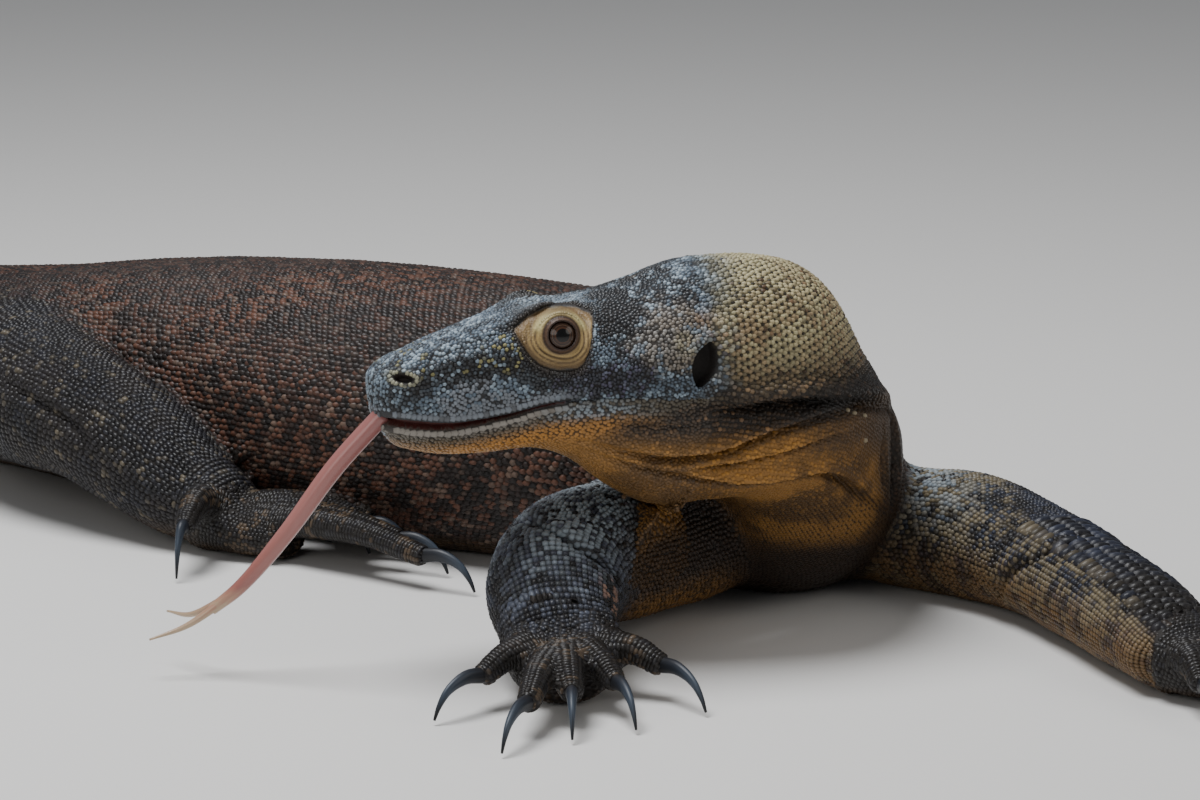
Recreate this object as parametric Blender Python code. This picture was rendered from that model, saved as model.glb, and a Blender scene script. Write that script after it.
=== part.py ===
"""A resting Komodo dragon, life size, as a museum's still model.

The animal lies on its belly on a flat floor. Its trunk runs from the hips, at -X and +Y, to the
shoulders, at +X and -Y. The neck bends sharply round to the animal's right, so that the head looks
along -X, and the forked tongue hangs from the mouth. Metres, +Z up, origin on the floor under the
middle of the belly.
"""

import math
from collections import namedtuple

import bmesh
import bpy
import numpy as np
from mathutils import Matrix, Vector

# ---------------------------------------------------------------- driving dimensions

GAP = 0.0003          # air between neighbouring solids
FLOOR = 0.0           # level that belly, soles and tail rest on

HEAD_AXIS = Vector((-0.951, -0.309, 0.0)).normalized()    # from the ear to the snout
SNOUT_TIP = Vector((-0.012, -0.3335, 0.1440))
HEAD_LINE = 0.146     # height of the head's centre line
EYE_REACH = 0.0915    # eye behind the snout tip, along the head
EYE_RADIUS = 0.0105
EYE_SIDE = 0.0255     # eye's centre from the head's middle plane
EYE_RISE = 0.0198     # eye's centre above the head's centre line
NOSE_ROUNDING = 0.016  # length over which the snout closes

# A station is a cross-section of the body: its centre, half its width, what it has above and
# below the centre, and how square it is (2 is an ellipse).
Station = namedtuple("Station", "x y z half_width rise drop square")

TAIL = [
    Station(-1.405, 0.170, 0.0065, 0.0022, 0.0030, 0.0070, 2.0),
    Station(-1.290, 0.262, 0.0110, 0.0058, 0.0090, 0.0115, 2.0),
    Station(-1.090, 0.355, 0.0180, 0.0105, 0.0180, 0.0185, 2.0),
    Station(-0.880, 0.398, 0.0260, 0.0165, 0.0260, 0.0270, 2.0),
    Station(-0.680, 0.385, 0.0340, 0.0245, 0.0335, 0.0355, 2.1),
    Station(-0.500, 0.325, 0.0430, 0.0370, 0.0390, 0.0450, 2.2),
    Station(-0.365, 0.250, 0.0530, 0.0540, 0.0430, 0.0560, 2.3),
]
TRUNK = [
    Station(-0.245, 0.170, 0.0600, 0.0760, 0.0480, 0.0660, 2.4),
    Station(-0.120, 0.085, 0.0640, 0.0930, 0.0640, 0.0720, 2.4),
    Station(0.000, 0.000, 0.0660, 0.1040, 0.0700, 0.0760, 2.4),
    Station(0.108, -0.071, 0.0650, 0.0960, 0.0670, 0.0740, 2.3),
    Station(0.186, -0.134, 0.0600, 0.0700, 0.0520, 0.0700, 2.2),
]
NECK = [
    Station(0.2020, -0.193, 0.0800, 0.0540, 0.0450, 0.0640, 2.1),
    Station(0.1920, -0.236, 0.1090, 0.0480, 0.0520, 0.0520, 2.1),
    Station(0.1720, -0.266, 0.1330, 0.0475, 0.0620, 0.0640, 2.1),
]
# Along the head: reach behind the snout tip, half width, rise, drop and squareness.
HEAD = [
    (0.1620, 0.0460, 0.0515, 0.0760, 2.1),
    (0.1390, 0.0445, 0.0440, 0.0700, 2.2),
    (0.1190, 0.0415, 0.0385, 0.0590, 2.3),
    (0.0985, 0.0370, 0.0350, 0.0440, 2.5),
    (0.0800, 0.0310, 0.0340, 0.0380, 2.6),
    (0.0570, 0.0258, 0.0275, 0.0395, 2.5),
    (0.0350, 0.0228, 0.0200, 0.0390, 2.4),
    (0.0180, 0.0205, 0.0135, 0.0350, 2.3),
    (0.0000, 0.0175, 0.0090, 0.0290, 2.2),
]


def head_station(reach, half_width, rise, drop, square):
    centre = SNOUT_TIP - HEAD_AXIS * reach
    return Station(centre.x, centre.y, HEAD_LINE, half_width, rise, drop, square)


SPINE = TAIL + TRUNK + NECK + [head_station(*row) for row in HEAD]

# Where the spine is parted, as fractional station numbers from the tail's tip.
FIRST_TRUNK = len(TAIL)
FIRST_NECK = FIRST_TRUNK + len(TRUNK)
FIRST_HEAD = FIRST_NECK + len(NECK)
SNOUT = len(SPINE) - 1
SPINE_PARTS = [
    ("tail_tip", 0.0, 1.6, 6, 8),
    ("tail_rear", 1.6, 3.4, 7, 12),
    ("tail_middle", 3.4, 5.0, 7, 14),
    ("tail_base", 5.0, FIRST_TRUNK - 0.25, 8, 18),
    ("trunk", FIRST_TRUNK - 0.25, FIRST_NECK - 0.35, 14, 20),
    ("neck", FIRST_NECK - 0.35, FIRST_HEAD - 0.15, 10, 20),
    ("head", FIRST_HEAD - 0.15, SNOUT, 18, 20),
]

# A limb station is a centre and two half sizes: across the limb, level, and through its thickness.
Joint = namedtuple("Joint", "x y z across through")

# Each leg's path from inside the body to the wrist or ankle.
LEGS = {
    "fore_right": [
        Joint(0.178, -0.150, 0.0520, 0.0400, 0.0400),
        Joint(0.144, -0.196, 0.0440, 0.0430, 0.0400),
        Joint(0.113, -0.244, 0.0415, 0.0385, 0.0355),
        Joint(0.088, -0.281, 0.0425, 0.0365, 0.0345),
        Joint(0.0775, -0.317, 0.0372, 0.0335, 0.0305),
        Joint(0.079, -0.344, 0.0285, 0.0290, 0.0225),
        Joint(0.082, -0.357, 0.0215, 0.0275, 0.0180),
    ],
    "fore_left": [
        Joint(0.212, -0.128, 0.0400, 0.0380, 0.0340),
        Joint(0.258, -0.150, 0.0305, 0.0380, 0.0310),
        Joint(0.294, -0.176, 0.0305, 0.0365, 0.0325),
        Joint(0.322, -0.214, 0.0275, 0.0335, 0.0278),
        Joint(0.342, -0.264, 0.0262, 0.0300, 0.0256),
        Joint(0.363, -0.325, 0.0235, 0.0285, 0.0230),
        Joint(0.376, -0.362, 0.0190, 0.0270, 0.0178),
    ],
    "hind_right": [
        Joint(-0.238, 0.135, 0.055, 0.046, 0.044),
        Joint(-0.231, 0.076, 0.061, 0.050, 0.046),
        Joint(-0.208, 0.019, 0.063, 0.041, 0.041),
        Joint(-0.180, -0.018, 0.059, 0.035, 0.036),
        Joint(-0.150, -0.044, 0.045, 0.0320, 0.033),
        Joint(-0.126, -0.064, 0.0310, 0.0280, 0.0280),
        Joint(-0.108, -0.077, 0.0230, 0.0240, 0.0220),
    ],
    "hind_left": [
        Joint(-0.240, 0.195, 0.055, 0.046, 0.042),
        Joint(-0.202, 0.232, 0.052, 0.050, 0.042),
        Joint(-0.156, 0.260, 0.050, 0.045, 0.041),
        Joint(-0.120, 0.287, 0.048, 0.041, 0.038),
        Joint(-0.102, 0.322, 0.040, 0.0365, 0.034),
        Joint(-0.101, 0.354, 0.0280, 0.0290, 0.0265),
        Joint(-0.096, 0.372, 0.0220, 0.0250, 0.0215),
    ],
}

# A digit leaves the wrist at an azimuth (0 is +X, 90 is +Y), runs its reach to the claw's root,
# which stands at a height, and the claw goes on at an azimuth of its own.
Digit = namedtuple("Digit", "azimuth reach height claw_azimuth claw_reach")
Foot = namedtuple("Foot", "azimuth palm_reach palm_half_width digit_radius digits")
FEET = {
    "fore_right": Foot(-88, 0.034, 0.0255, 0.0074, [
        Digit(-24, 0.051, 0.0170, -65, 0.037),
        Digit(-63, 0.055, 0.0165, -76, 0.033),
        Digit(-86, 0.068, 0.0165, -90, 0.029),
        Digit(-100, 0.086, 0.0165, -112, 0.036),
        Digit(-133, 0.054, 0.0170, -131, 0.034),
    ]),
    "fore_left": Foot(-30, 0.034, 0.0255, 0.0074, [
        Digit(-84, 0.051, 0.0170, -78, 0.034),
        Digit(-59, 0.060, 0.0165, -54, 0.033),
        Digit(-36, 0.074, 0.0165, -34, 0.031),
        Digit(-18, 0.082, 0.0165, -12, 0.034),
        Digit(17, 0.056, 0.0170, 14, 0.034),
    ]),
    "hind_right": Foot(-34, 0.050, 0.0220, 0.0074, [
        Digit(-14, 0.063, 0.0180, -16, 0.024),
        Digit(-18, 0.087, 0.0200, -20, 0.027),
        Digit(-28, 0.114, 0.0180, -24, 0.030),
        Digit(-38, 0.146, 0.0180, -26, 0.032),
        Digit(-100, 0.062, 0.0270, -104, 0.016),
    ]),
    "hind_left": Foot(34, 0.050, 0.0230, 0.0074, [
        Digit(4, 0.076, 0.0160, 0, 0.030),
        Digit(20, 0.100, 0.0165, 16, 0.031),
        Digit(33, 0.121, 0.0165, 28, 0.032),
        Digit(46, 0.137, 0.0170, 40, 0.033),
        Digit(104, 0.062, 0.0180, 98, 0.028),
    ]),
}
DIGIT_NAMES = ("i", "ii", "iii", "iv", "v")
CLAW_ROOT_RADIUS = 0.0041
CLAW_TIP_RADIUS = 0.0007
CLAW_TIP_HEIGHT = 0.0020
CLAW_ARCH = 0.0032  # how far a claw bulges over the straight way down

# The tongue hangs from the mouth's front and forks: points with radii.
TONGUE = [
    (-0.0040, -0.3340, 0.1295, 0.0048),
    (-0.0270, -0.3352, 0.1040, 0.0047),
    (-0.0520, -0.3356, 0.0700, 0.0042),
    (-0.0745, -0.3350, 0.0436, 0.0034),
    (-0.0880, -0.3340, 0.0325, 0.0028),
]
TINES = [
    [
        (-0.0850, -0.3345, 0.0345, 0.0022),
        (-0.1000, -0.3370, 0.0252, 0.0015),
        (-0.1180, -0.3400, 0.0190, 0.0005),
    ],
    [
        (-0.0850, -0.3335, 0.0345, 0.0022),
        (-0.0990, -0.3240, 0.0275, 0.0014),
        (-0.1120, -0.3100, 0.0255, 0.0005),
    ],
]

# The mouth's line along the head: reach behind the snout tip and height.
MOUTH_LINE = [
    (-0.030, 0.1282),
    (0.004, 0.1275),
    (0.038, 0.1248),
    (0.062, 0.1288),
    (0.086, 0.1352),
    (0.122, 0.1378),
]
MOUTH_OPENING = 0.0016      # how far the lips stand apart at the front
JAW_REAR = (0.150, 0.060)   # where the jaw ends below the throat: reach and height
EAR = dict(reach=0.1555, height=0.1520, depth=0.007, half_width=0.0062, half_height=0.0130)
NOSTRIL = dict(reach=0.0135, height=0.1490, radius=0.0030)

# ---------------------------------------------------------------- curves and rings


def hermite(knots, values, t):
    """Smooth curve through values at knots, read at t: a cubic with averaged slopes."""
    knots = np.asarray(knots, float)
    values = np.asarray(values, float)
    secants = np.diff(values, axis=0) / np.diff(knots)[:, None]
    slopes = np.vstack([secants[:1], (secants[1:] + secants[:-1]) / 2, secants[-1:]])
    t = np.clip(t, knots[0], knots[-1])
    i = np.clip(np.searchsorted(knots, t, side="right") - 1, 0, len(knots) - 2)
    h = (knots[i + 1] - knots[i])[:, None]
    w = ((t - knots[i]) / (knots[i + 1] - knots[i]))[:, None]
    return (
        values[i] * (1 + 2 * w) * (1 - w) ** 2
        + h * slopes[i] * w * (1 - w) ** 2
        + values[i + 1] * w * w * (3 - 2 * w)
        + h * slopes[i + 1] * w * w * (w - 1)
    )


def smooth_path(points, values, t):
    """Values along a chain of points, read at station numbers t, smooth in the distance run."""
    run = np.concatenate([[0.0], np.cumsum(np.linalg.norm(np.diff(points, axis=0), axis=1))])
    return hermite(run, values, np.interp(t, np.arange(len(run)), run))


def frames(path, t, step=1e-3):
    """Centres, tangents, level sides and ups of a path at t, a function of station number."""
    ahead, behind = path(t + step), path(t - step)
    tangent = ahead - behind
    tangent /= np.linalg.norm(tangent, axis=1)[:, None]
    side = np.cross(tangent, (0.0, 0.0, 1.0))
    side /= np.linalg.norm(side, axis=1)[:, None]
    return path(t), tangent, side, np.cross(side, tangent)


def section(angles, half_width, rise, drop, square):
    """Side and up offsets of a superellipse with unlike upper and lower halves."""
    c, s = np.cos(angles), np.sin(angles)
    side = half_width * np.sign(c) * np.abs(c) ** (2 / square)
    up = np.where(s > 0, rise, drop) * np.sign(s) * np.abs(s) ** (2 / square)
    return side, up


def on_floor(points):
    """Whatever would lie below the floor is laid flat on it."""
    points[..., 2] = np.maximum(points[..., 2], FLOOR)
    return points


# ---------------------------------------------------------------- meshes


def collection_named(name):
    found = bpy.data.collections.new(name)
    bpy.context.scene.collection.children.link(found)
    return found


def add_object(name, mesh, collection):
    obj = bpy.data.objects.new(name, mesh)
    collection.objects.link(obj)
    return obj


def solid(name, bm, collection):
    """A new object of the closed bmesh, with its faces outward."""
    bmesh.ops.recalc_face_normals(bm, faces=bm.faces)
    if bm.calc_volume(signed=True) < 0:
        bmesh.ops.reverse_faces(bm, faces=bm.faces)
    mesh = bpy.data.meshes.new(name)
    bm.to_mesh(mesh)
    bm.free()
    return add_object(name, mesh, collection)


def loft(name, rings, collection):
    """A closed mesh through rings of points, each end closed by a fan."""
    bm = bmesh.new()
    rows = [[bm.verts.new(p) for p in ring] for ring in rings]
    sides = len(rows[0])
    for row, following in zip(rows, rows[1:]):
        for i in range(sides):
            j = (i + 1) % sides
            bm.faces.new((row[i], row[j], following[j]))
            bm.faces.new((row[i], following[j], following[i]))
    for row in (rows[0], rows[-1]):
        middle = bm.verts.new(sum((v.co for v in row), Vector()) / sides)
        for i in range(sides):
            bm.faces.new((row[i], row[(i + 1) % sides], middle))
    bmesh.ops.remove_doubles(bm, verts=bm.verts, dist=1e-6)
    return solid(name, bm, collection)


def combine(obj, others, operation):
    """Applies a Boolean of each other object to obj, and hides the others."""
    for other in others:
        modifier = obj.modifiers.new(operation.title(), "BOOLEAN")
        modifier.operation = operation
        modifier.solver = "MANIFOLD"  # the exact one leaves open edges where these lofts cross
        modifier.object = other
        other.hide_render = True
        other.display_type = "WIRE"
        bpy.context.view_layer.update()
        graph = bpy.context.evaluated_depsgraph_get()
        result = bpy.data.meshes.new_from_object(obj.evaluated_get(graph))
        obj.modifiers.clear()
        obj.data = result


def keep_largest_body(obj):
    """Drops the crumbs that a cut leaves beside the main body."""
    bm = bmesh.new()
    bm.from_mesh(obj.data)
    unseen = set(bm.faces)
    bodies = []
    while unseen:
        todo = [unseen.pop()]
        body = list(todo)
        while todo:
            for edge in todo.pop().edges:
                for face in edge.link_faces:
                    if face in unseen:
                        unseen.discard(face)
                        body.append(face)
                        todo.append(face)
        bodies.append(body)
    bodies.sort(key=lambda body: sum(face.calc_area() for face in body))
    for body in bodies[:-1]:
        bmesh.ops.delete(bm, geom=body, context="FACES")
    bm.to_mesh(obj.data)
    bm.free()


def tidy(obj):
    """Welds the slivers that cuts leave and merges level faces, as far as the solid stays closed."""
    for weld, level in ((3e-4, 1.5), (1e-4, 1.5), (2e-4, 0), (5e-5, 0), (1e-5, 0)):
        bm = bmesh.new()
        bm.from_mesh(obj.data)
        bmesh.ops.triangulate(bm, faces=bm.faces)
        bmesh.ops.remove_doubles(bm, verts=bm.verts, dist=weld)
        bmesh.ops.dissolve_degenerate(bm, edges=bm.edges, dist=1e-5)
        if level:
            bmesh.ops.dissolve_limit(bm, angle_limit=math.radians(level), verts=bm.verts, edges=bm.edges)
        bmesh.ops.triangulate(bm, faces=bm.faces)
        closed = all(edge.is_manifold for edge in bm.edges) and all(vert.is_manifold for vert in bm.verts)
        if closed:
            bm.to_mesh(obj.data)
        bm.free()
        if closed:
            return
    print("not closed:", obj.name)


def tube_rings(points, sides, steps, flatten=1.0):
    """Rings of a tapering tube through (x, y, z, radius) points; flatten narrows it sideways."""
    table = np.array(points, float)
    t = np.linspace(0, len(table) - 1, steps)
    centre, _, side, up = frames(lambda at: smooth_path(table[:, :3], table[:, :3], at), t)
    radius = smooth_path(table[:, :3], table[:, 3:], t)[:, 0]
    angles = np.linspace(0, 2 * math.pi, sides, endpoint=False)
    return [
        c + r * flatten * np.cos(angles)[:, None] * s + r * np.sin(angles)[:, None] * u
        for c, r, s, u in zip(centre, radius, side, up)
    ]


def prism(name, outline, half_width, collection):
    """An outline of (reach, height) points on the head's middle plane, made as wide as the head."""
    across = HEAD_AXIS.cross(Vector((0, 0, 1)))
    rings = []
    for offset in (-half_width, half_width):
        flat = SNOUT_TIP.xy.to_3d() + across * offset
        rings.append([flat - HEAD_AXIS * reach + Vector((0, 0, height)) for reach, height in outline])
    bm = bmesh.new()
    near, far = ([bm.verts.new(p) for p in ring] for ring in rings)
    bm.faces.new(near)
    bm.faces.new(far[::-1])
    for i in range(len(near)):
        j = (i + 1) % len(near)
        bm.faces.new((near[j], near[i], far[i], far[j]))
    return solid(name, bm, collection)


def ball(name, centre, radii, axes, collection, segments=20):
    """An ellipsoid whose three axes are the columns of axes."""
    bm = bmesh.new()
    bmesh.ops.create_uvsphere(bm, u_segments=segments, v_segments=segments // 2, radius=1.0)
    bm.transform(Matrix.Translation(centre) @ axes.to_4x4() @ Matrix.Diagonal(radii).to_4x4())
    return solid(name, bm, collection)


# ---------------------------------------------------------------- materials


def material(name, colour, roughness):
    found = bpy.data.materials.get(name)
    if found is None:
        found = bpy.data.materials.new(name)
        found.use_nodes = True
        shader = found.node_tree.nodes["Principled BSDF"]
        shader.inputs["Base Color"].default_value = (*colour, 1.0)
        shader.inputs["Roughness"].default_value = roughness
        shader.inputs["Metallic"].default_value = 0.0
    return found


COLOURS = {
    "head_skin": ((0.22, 0.25, 0.28), 0.55),
    "neck_skin": ((0.36, 0.30, 0.17), 0.60),
    "body_skin": ((0.20, 0.12, 0.08), 0.65),
    "leg_skin": ((0.09, 0.09, 0.10), 0.60),
    "claw_horn": ((0.03, 0.035, 0.045), 0.30),
    "eyeball": ((0.06, 0.03, 0.015), 0.08),
    "tongue_flesh": ((0.62, 0.33, 0.32), 0.35),
}


def finish(obj, slot, smooth=True):
    tidy(obj)
    obj.data.materials.clear()
    obj.data.materials.append(material(slot, *COLOURS[slot]))
    if smooth:
        obj.data.shade_smooth()
        obj.data.set_sharp_from_angle(angle=math.radians(50))


# ---------------------------------------------------------------- spine: tail, trunk, neck and head


SPINE_POINTS = np.array([(s.x, s.y, s.z) for s in SPINE])
SPINE_SIZES = np.array([(s.half_width, s.rise, s.drop, s.square) for s in SPINE])


def spine_path(t):
    return smooth_path(SPINE_POINTS, SPINE_POINTS, t)


def spine_sizes(t):
    return smooth_path(SPINE_POINTS, SPINE_SIZES, t).T


def head_relief(points):
    """Brow ridges, cheeks and the dip between snout and brow, as offsets along the head."""
    flat = points - np.array(SNOUT_TIP)
    reach = -(flat @ np.array(HEAD_AXIS))
    across = np.array(HEAD_AXIS.cross(Vector((0, 0, 1))))
    lateral = flat @ across
    height = points[..., 2] - HEAD_LINE
    brow = np.exp(-(((reach - 0.082) / 0.013) ** 2 + ((np.abs(lateral) - 0.021) / 0.008) ** 2))
    cheek = np.exp(-(((reach - 0.128) / 0.018) ** 2 + ((height - 0.004) / 0.018) ** 2))
    out = points.copy()
    out[..., 2] += 0.0045 * brow * (height > 0.015)
    out += (0.0025 * cheek * np.sign(lateral))[..., None] * across
    return out


def spine_rings(t, sides, swell=0.0):
    """Cross-sections of the whole body tube at station numbers t, swollen by a margin."""
    t = np.asarray(t, float)
    centre, tangent, side, up = frames(spine_path, t)
    half_width, rise, drop, square = spine_sizes(t)
    angles = np.linspace(0, 2 * math.pi, sides, endpoint=False)
    rings = []
    for i in range(len(t)):
        nose = np.linalg.norm(spine_path(np.array([SNOUT]))[0] - centre[i])
        close = 1.0
        if t[i] > FIRST_HEAD:
            close = math.sqrt(max(0.0, 1 - max(0.0, 1 - nose / NOSE_ROUNDING) ** 2))
        offset, lift = section(angles, half_width[i] * close, rise[i] * close, drop[i] * close, square[i])
        size = np.hypot(offset, lift) + 1e-9
        scale = 1 + swell / size
        ring = centre[i] + (offset * scale)[:, None] * side[i] + (lift * scale)[:, None] * up[i]
        if t[i] > FIRST_HEAD - 1:
            ring = head_relief(ring)
        rings.append(ring if swell else on_floor(ring))
    return rings


def along(start, end, count):
    """Station numbers from start to end, GAP apart from the neighbours; the snout's crowd forward."""
    length = lambda a, b: np.linalg.norm(spine_path(np.array([a]))[0] - spine_path(np.array([b]))[0])
    if end == SNOUT:
        w = np.linspace(0, 1, count)
        t = start + (end - start) * (1 - (1 - w) ** 1.6)
    else:
        t = np.linspace(start, end, count)
        t[-1] -= (t[-1] - t[-2]) * GAP / length(t[-2], t[-1])
    return t


def build_spine(parts):
    """Each named length of the spine, parted by a thin gap."""
    made = {}
    for name, start, end, count, sides in SPINE_PARTS:
        made[name] = loft(name, spine_rings(along(start, end, count), sides), parts)
    return made


# ---------------------------------------------------------------- head: jaw, eyes, ears, nostrils


def mouth_outline(offset):
    """The region below the mouth's line, moved by offset: the lips stand apart at the front."""
    rows = []
    for reach, height in MOUTH_LINE:
        open_share = max(0.0, 1 - max(reach, 0) / MOUTH_LINE[-1][0])
        rows.append((reach, height + offset * (GAP + MOUTH_OPENING * open_share)))
    corner, rear = MOUTH_LINE[-1], JAW_REAR
    rows[-1] = (corner[0] + offset * GAP, corner[1] + offset * GAP / 2)
    rows.append((rear[0] + offset * GAP, rear[1]))
    rows.append((MOUTH_LINE[0][0], rear[1]))
    return rows


def part_jaw(head, parts, cutters):
    """Splits the lower jaw from the head along the mouth's line."""
    jaw = add_object("lower_jaw", head.data.copy(), parts)
    combine(jaw, [prism("jaw_region", mouth_outline(-0.5), 0.08, cutters)], "INTERSECT")
    combine(head, [prism("above_jaw", mouth_outline(0.5), 0.08, cutters)], "DIFFERENCE")
    keep_largest_body(jaw)
    keep_largest_body(head)
    return jaw


def head_point(reach, lateral, height):
    across = HEAD_AXIS.cross(Vector((0, 0, 1)))
    point = SNOUT_TIP.xy.to_3d() - HEAD_AXIS * reach + across * lateral
    point.z = height
    return point


def head_axes(tilt=0.0):
    across = HEAD_AXIS.cross(Vector((0, 0, 1)))
    turn = Matrix.Rotation(tilt, 3, across)
    return Matrix((turn @ HEAD_AXIS, -across, turn @ Vector((0, 0, 1)))).transposed()


def side_of_head(reach, height):
    """How far out the head's surface lies at this reach and height."""
    knots = np.arange(FIRST_HEAD, SNOUT + 1)
    reaches = np.array([row[0] for row in HEAD])
    t = np.interp(-reach, -reaches, knots)
    half_width, rise, _, square = (v[0] for v in spine_sizes(np.array([t])))
    share = min(0.99, abs(height - HEAD_LINE) / rise)
    return half_width * (1 - share**square) ** (1 / square)


def build_eyes(head, parts, cutters):
    """Two eyeballs in sockets of their own size."""
    for name, sign in (("eye_left", 1), ("eye_right", -1)):
        centre = head_point(EYE_REACH, -sign * EYE_SIDE, HEAD_LINE + EYE_RISE)
        radii = [EYE_RADIUS] * 3
        socket = ball(name + "_socket", centre, [r + 2 * GAP for r in radii], head_axes(), cutters, 14)
        combine(head, [socket], "DIFFERENCE")
        finish(ball(name, centre, radii, head_axes(), parts, 14), "eyeball")


def carve_ears_and_nostrils(head, cutters):
    for sign in (1, -1):
        out = side_of_head(EAR["reach"], EAR["height"])
        centre = head_point(EAR["reach"], -sign * out, EAR["height"])
        radii = (EAR["half_width"], EAR["depth"], EAR["half_height"])
        pit = ball("ear_pit", centre, radii, head_axes(math.radians(18)), cutters, 12)
        combine(head, [pit], "DIFFERENCE")
        out = side_of_head(NOSTRIL["reach"], NOSTRIL["height"])
        centre = head_point(NOSTRIL["reach"], -sign * out, NOSTRIL["height"])
        radii = (NOSTRIL["radius"] * 1.5, NOSTRIL["radius"], NOSTRIL["radius"])
        combine(head, [ball("nostril_pit", centre, radii, head_axes(), cutters, 8)], "DIFFERENCE")


# ---------------------------------------------------------------- tongue


def build_tongue(head, jaw, parts, cutters):
    """A forked tongue, and the notch between the lips that it comes out of."""
    tongue = loft("tongue", tube_rings(TONGUE, 8, 9), parts)
    tines = [loft("tine", tube_rings(points, 6, 5), cutters) for points in TINES]
    combine(tongue, tines, "UNION")
    wider = [(x, y, z, radius + GAP * 1.5) for x, y, z, radius in TONGUE]
    back = (np.array(wider[0]) - np.array(wider[1])) * 0.03
    wider[0] = (*(np.array(wider[0]) + back)[:3], wider[0][3])
    notch = loft("tongue_notch", tube_rings(wider, 8, 9), cutters)
    combine(head, [notch], "DIFFERENCE")
    combine(jaw, [notch], "DIFFERENCE")
    finish(tongue, "tongue_flesh")


# ---------------------------------------------------------------- legs, feet and claws


def limb_rings(name, start, end, count, sides, swell=0.0):
    table = np.array(LEGS[name])
    t = np.linspace(start, end, count)
    centre, _, side, up = frames(lambda at: smooth_path(table[:, :3], table[:, :3], at), t)
    across, through = smooth_path(table[:, :3], table[:, 3:], t).T
    angles = np.linspace(0, 2 * math.pi, sides, endpoint=False)
    rings = []
    for i in range(count):
        offset, lift = section(angles, across[i] + swell, through[i] + swell, through[i] + swell, 2.1)
        ring = centre[i] + offset[:, None] * side[i] + lift[:, None] * up[i]
        rings.append(ring if swell else on_floor(ring))
    return rings


def limb_cutter(name, start, end, swell, cutters):
    """A length of a limb, swollen by a margin, which cuts what meets it."""
    return loft("limb_cutter", limb_rings(name, start, end, 7, 14, swell), cutters)


def joint_slab(name, station, near, far, cutters):
    """A flat disc across a limb, from near to far along it, which cuts the limb square."""
    table = np.array(LEGS[name])
    centre, tangent, side, up = (
        part[0]
        for part in frames(lambda at: smooth_path(table[:, :3], table[:, :3], at), np.array([station]))
    )
    angles = np.linspace(0, 2 * math.pi, 16, endpoint=False)[:, None]
    wheel = 0.062 * (np.cos(angles) * side + np.sin(angles) * up)
    return loft("joint_slab", [centre + tangent * near + wheel, centre + tangent * far + wheel], cutters)


def heading(azimuth):
    return Vector((math.cos(math.radians(azimuth)), math.sin(math.radians(azimuth)), 0.0))


def digit_path(wrist, digit, radius):
    """From the wrist over a raised knuckle to the claw's root."""
    way = heading(digit.azimuth) * digit.reach
    knuckle_height = digit.height + 0.006
    return [
        (wrist.x, wrist.y, wrist.z * 0.8, radius * 1.10),
        (wrist.x + way.x * 0.40, wrist.y + way.y * 0.40, knuckle_height * 0.95, radius * 1.15),
        (wrist.x + way.x * 0.72, wrist.y + way.y * 0.72, knuckle_height, radius),
        (wrist.x + way.x, wrist.y + way.y, digit.height, radius * 0.82),
    ]


def claw_path(wrist, digit):
    """A claw that rises a little from its root, then curves down to the floor."""
    root = wrist.xy.to_3d() + heading(digit.azimuth) * digit.reach
    way = (heading(digit.azimuth) * 0.25 + heading(digit.claw_azimuth) * 0.75).normalized()
    drop = digit.height - CLAW_TIP_HEIGHT
    rows = []
    for share in (0.0, 0.3, 0.62, 0.85, 1.0):
        place = root + way * digit.claw_reach * (0.5 * math.sin(share * math.pi / 2) + 0.5 * share)
        height = digit.height + CLAW_ARCH * math.sin(share * math.pi) - drop * share**2
        radius = CLAW_ROOT_RADIUS + (CLAW_TIP_RADIUS - CLAW_ROOT_RADIUS) * share**1.3
        rows.append((place.x, place.y, height, radius))
    return rows


def build_foot(name, parts, cutters):
    foot, last = FEET[name], LEGS[name][-1]
    wrist = Vector((last.x, last.y, last.z))
    way = heading(foot.azimuth)
    palm = [
        (-0.08, last.z, last.across, last.through),
        (0.45, 0.0150, foot.palm_half_width * 1.05, 0.0150),
        (1.0, 0.0125, foot.palm_half_width * 0.75, 0.0115),
    ]
    knots = np.arange(len(palm))
    table = np.array(palm)
    t = np.linspace(0, knots[-1], 5)
    share, height, across, through = hermite(knots, table, t).T
    angles = np.linspace(0, 2 * math.pi, 10, endpoint=False)
    side = way.cross(Vector((0, 0, 1)))
    rings = []
    for i in range(len(t)):
        centre = wrist.xy.to_3d() + way * (foot.palm_reach * share[i] + 2 * GAP) + Vector((0, 0, height[i]))
        offset, lift = section(angles, across[i], through[i], through[i], 2.2)
        ring = np.array(centre) + offset[:, None] * np.array(side) + lift[:, None] * np.array((0, 0, 1))
        rings.append(on_floor(ring))
    palm_solid = loft("foot_" + name, rings, parts)
    base = wrist + way * foot.palm_reach * 0.30
    digits = []
    for digit in foot.digits:
        path = digit_path(wrist, digit, foot.digit_radius)
        path[0] = (base.x, base.y, 0.0135, foot.digit_radius)
        digits.append(loft("digit", [on_floor(r) for r in tube_rings(path, 7, 5)], cutters))
    combine(palm_solid, digits, "UNION")
    last = len(LEGS[name]) - 1
    combine(palm_solid, [limb_cutter(name, last - 1, last, 2 * GAP, cutters)], "DIFFERENCE")
    keep_largest_body(palm_solid)
    finish(palm_solid, "leg_skin")
    for label, digit in zip(DIGIT_NAMES, foot.digits):
        rings = tube_rings(claw_path(wrist, digit), 6, 5, flatten=0.8)
        away = np.array(heading(digit.azimuth)) * 2 * GAP
        claw = loft(f"claw_{name}_{label}", [ring + away for ring in rings], parts)
        combine(claw, [palm_cutter(palm_solid, cutters)], "DIFFERENCE")
        keep_largest_body(claw)
        finish(claw, "claw_horn")
    return palm_solid


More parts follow.
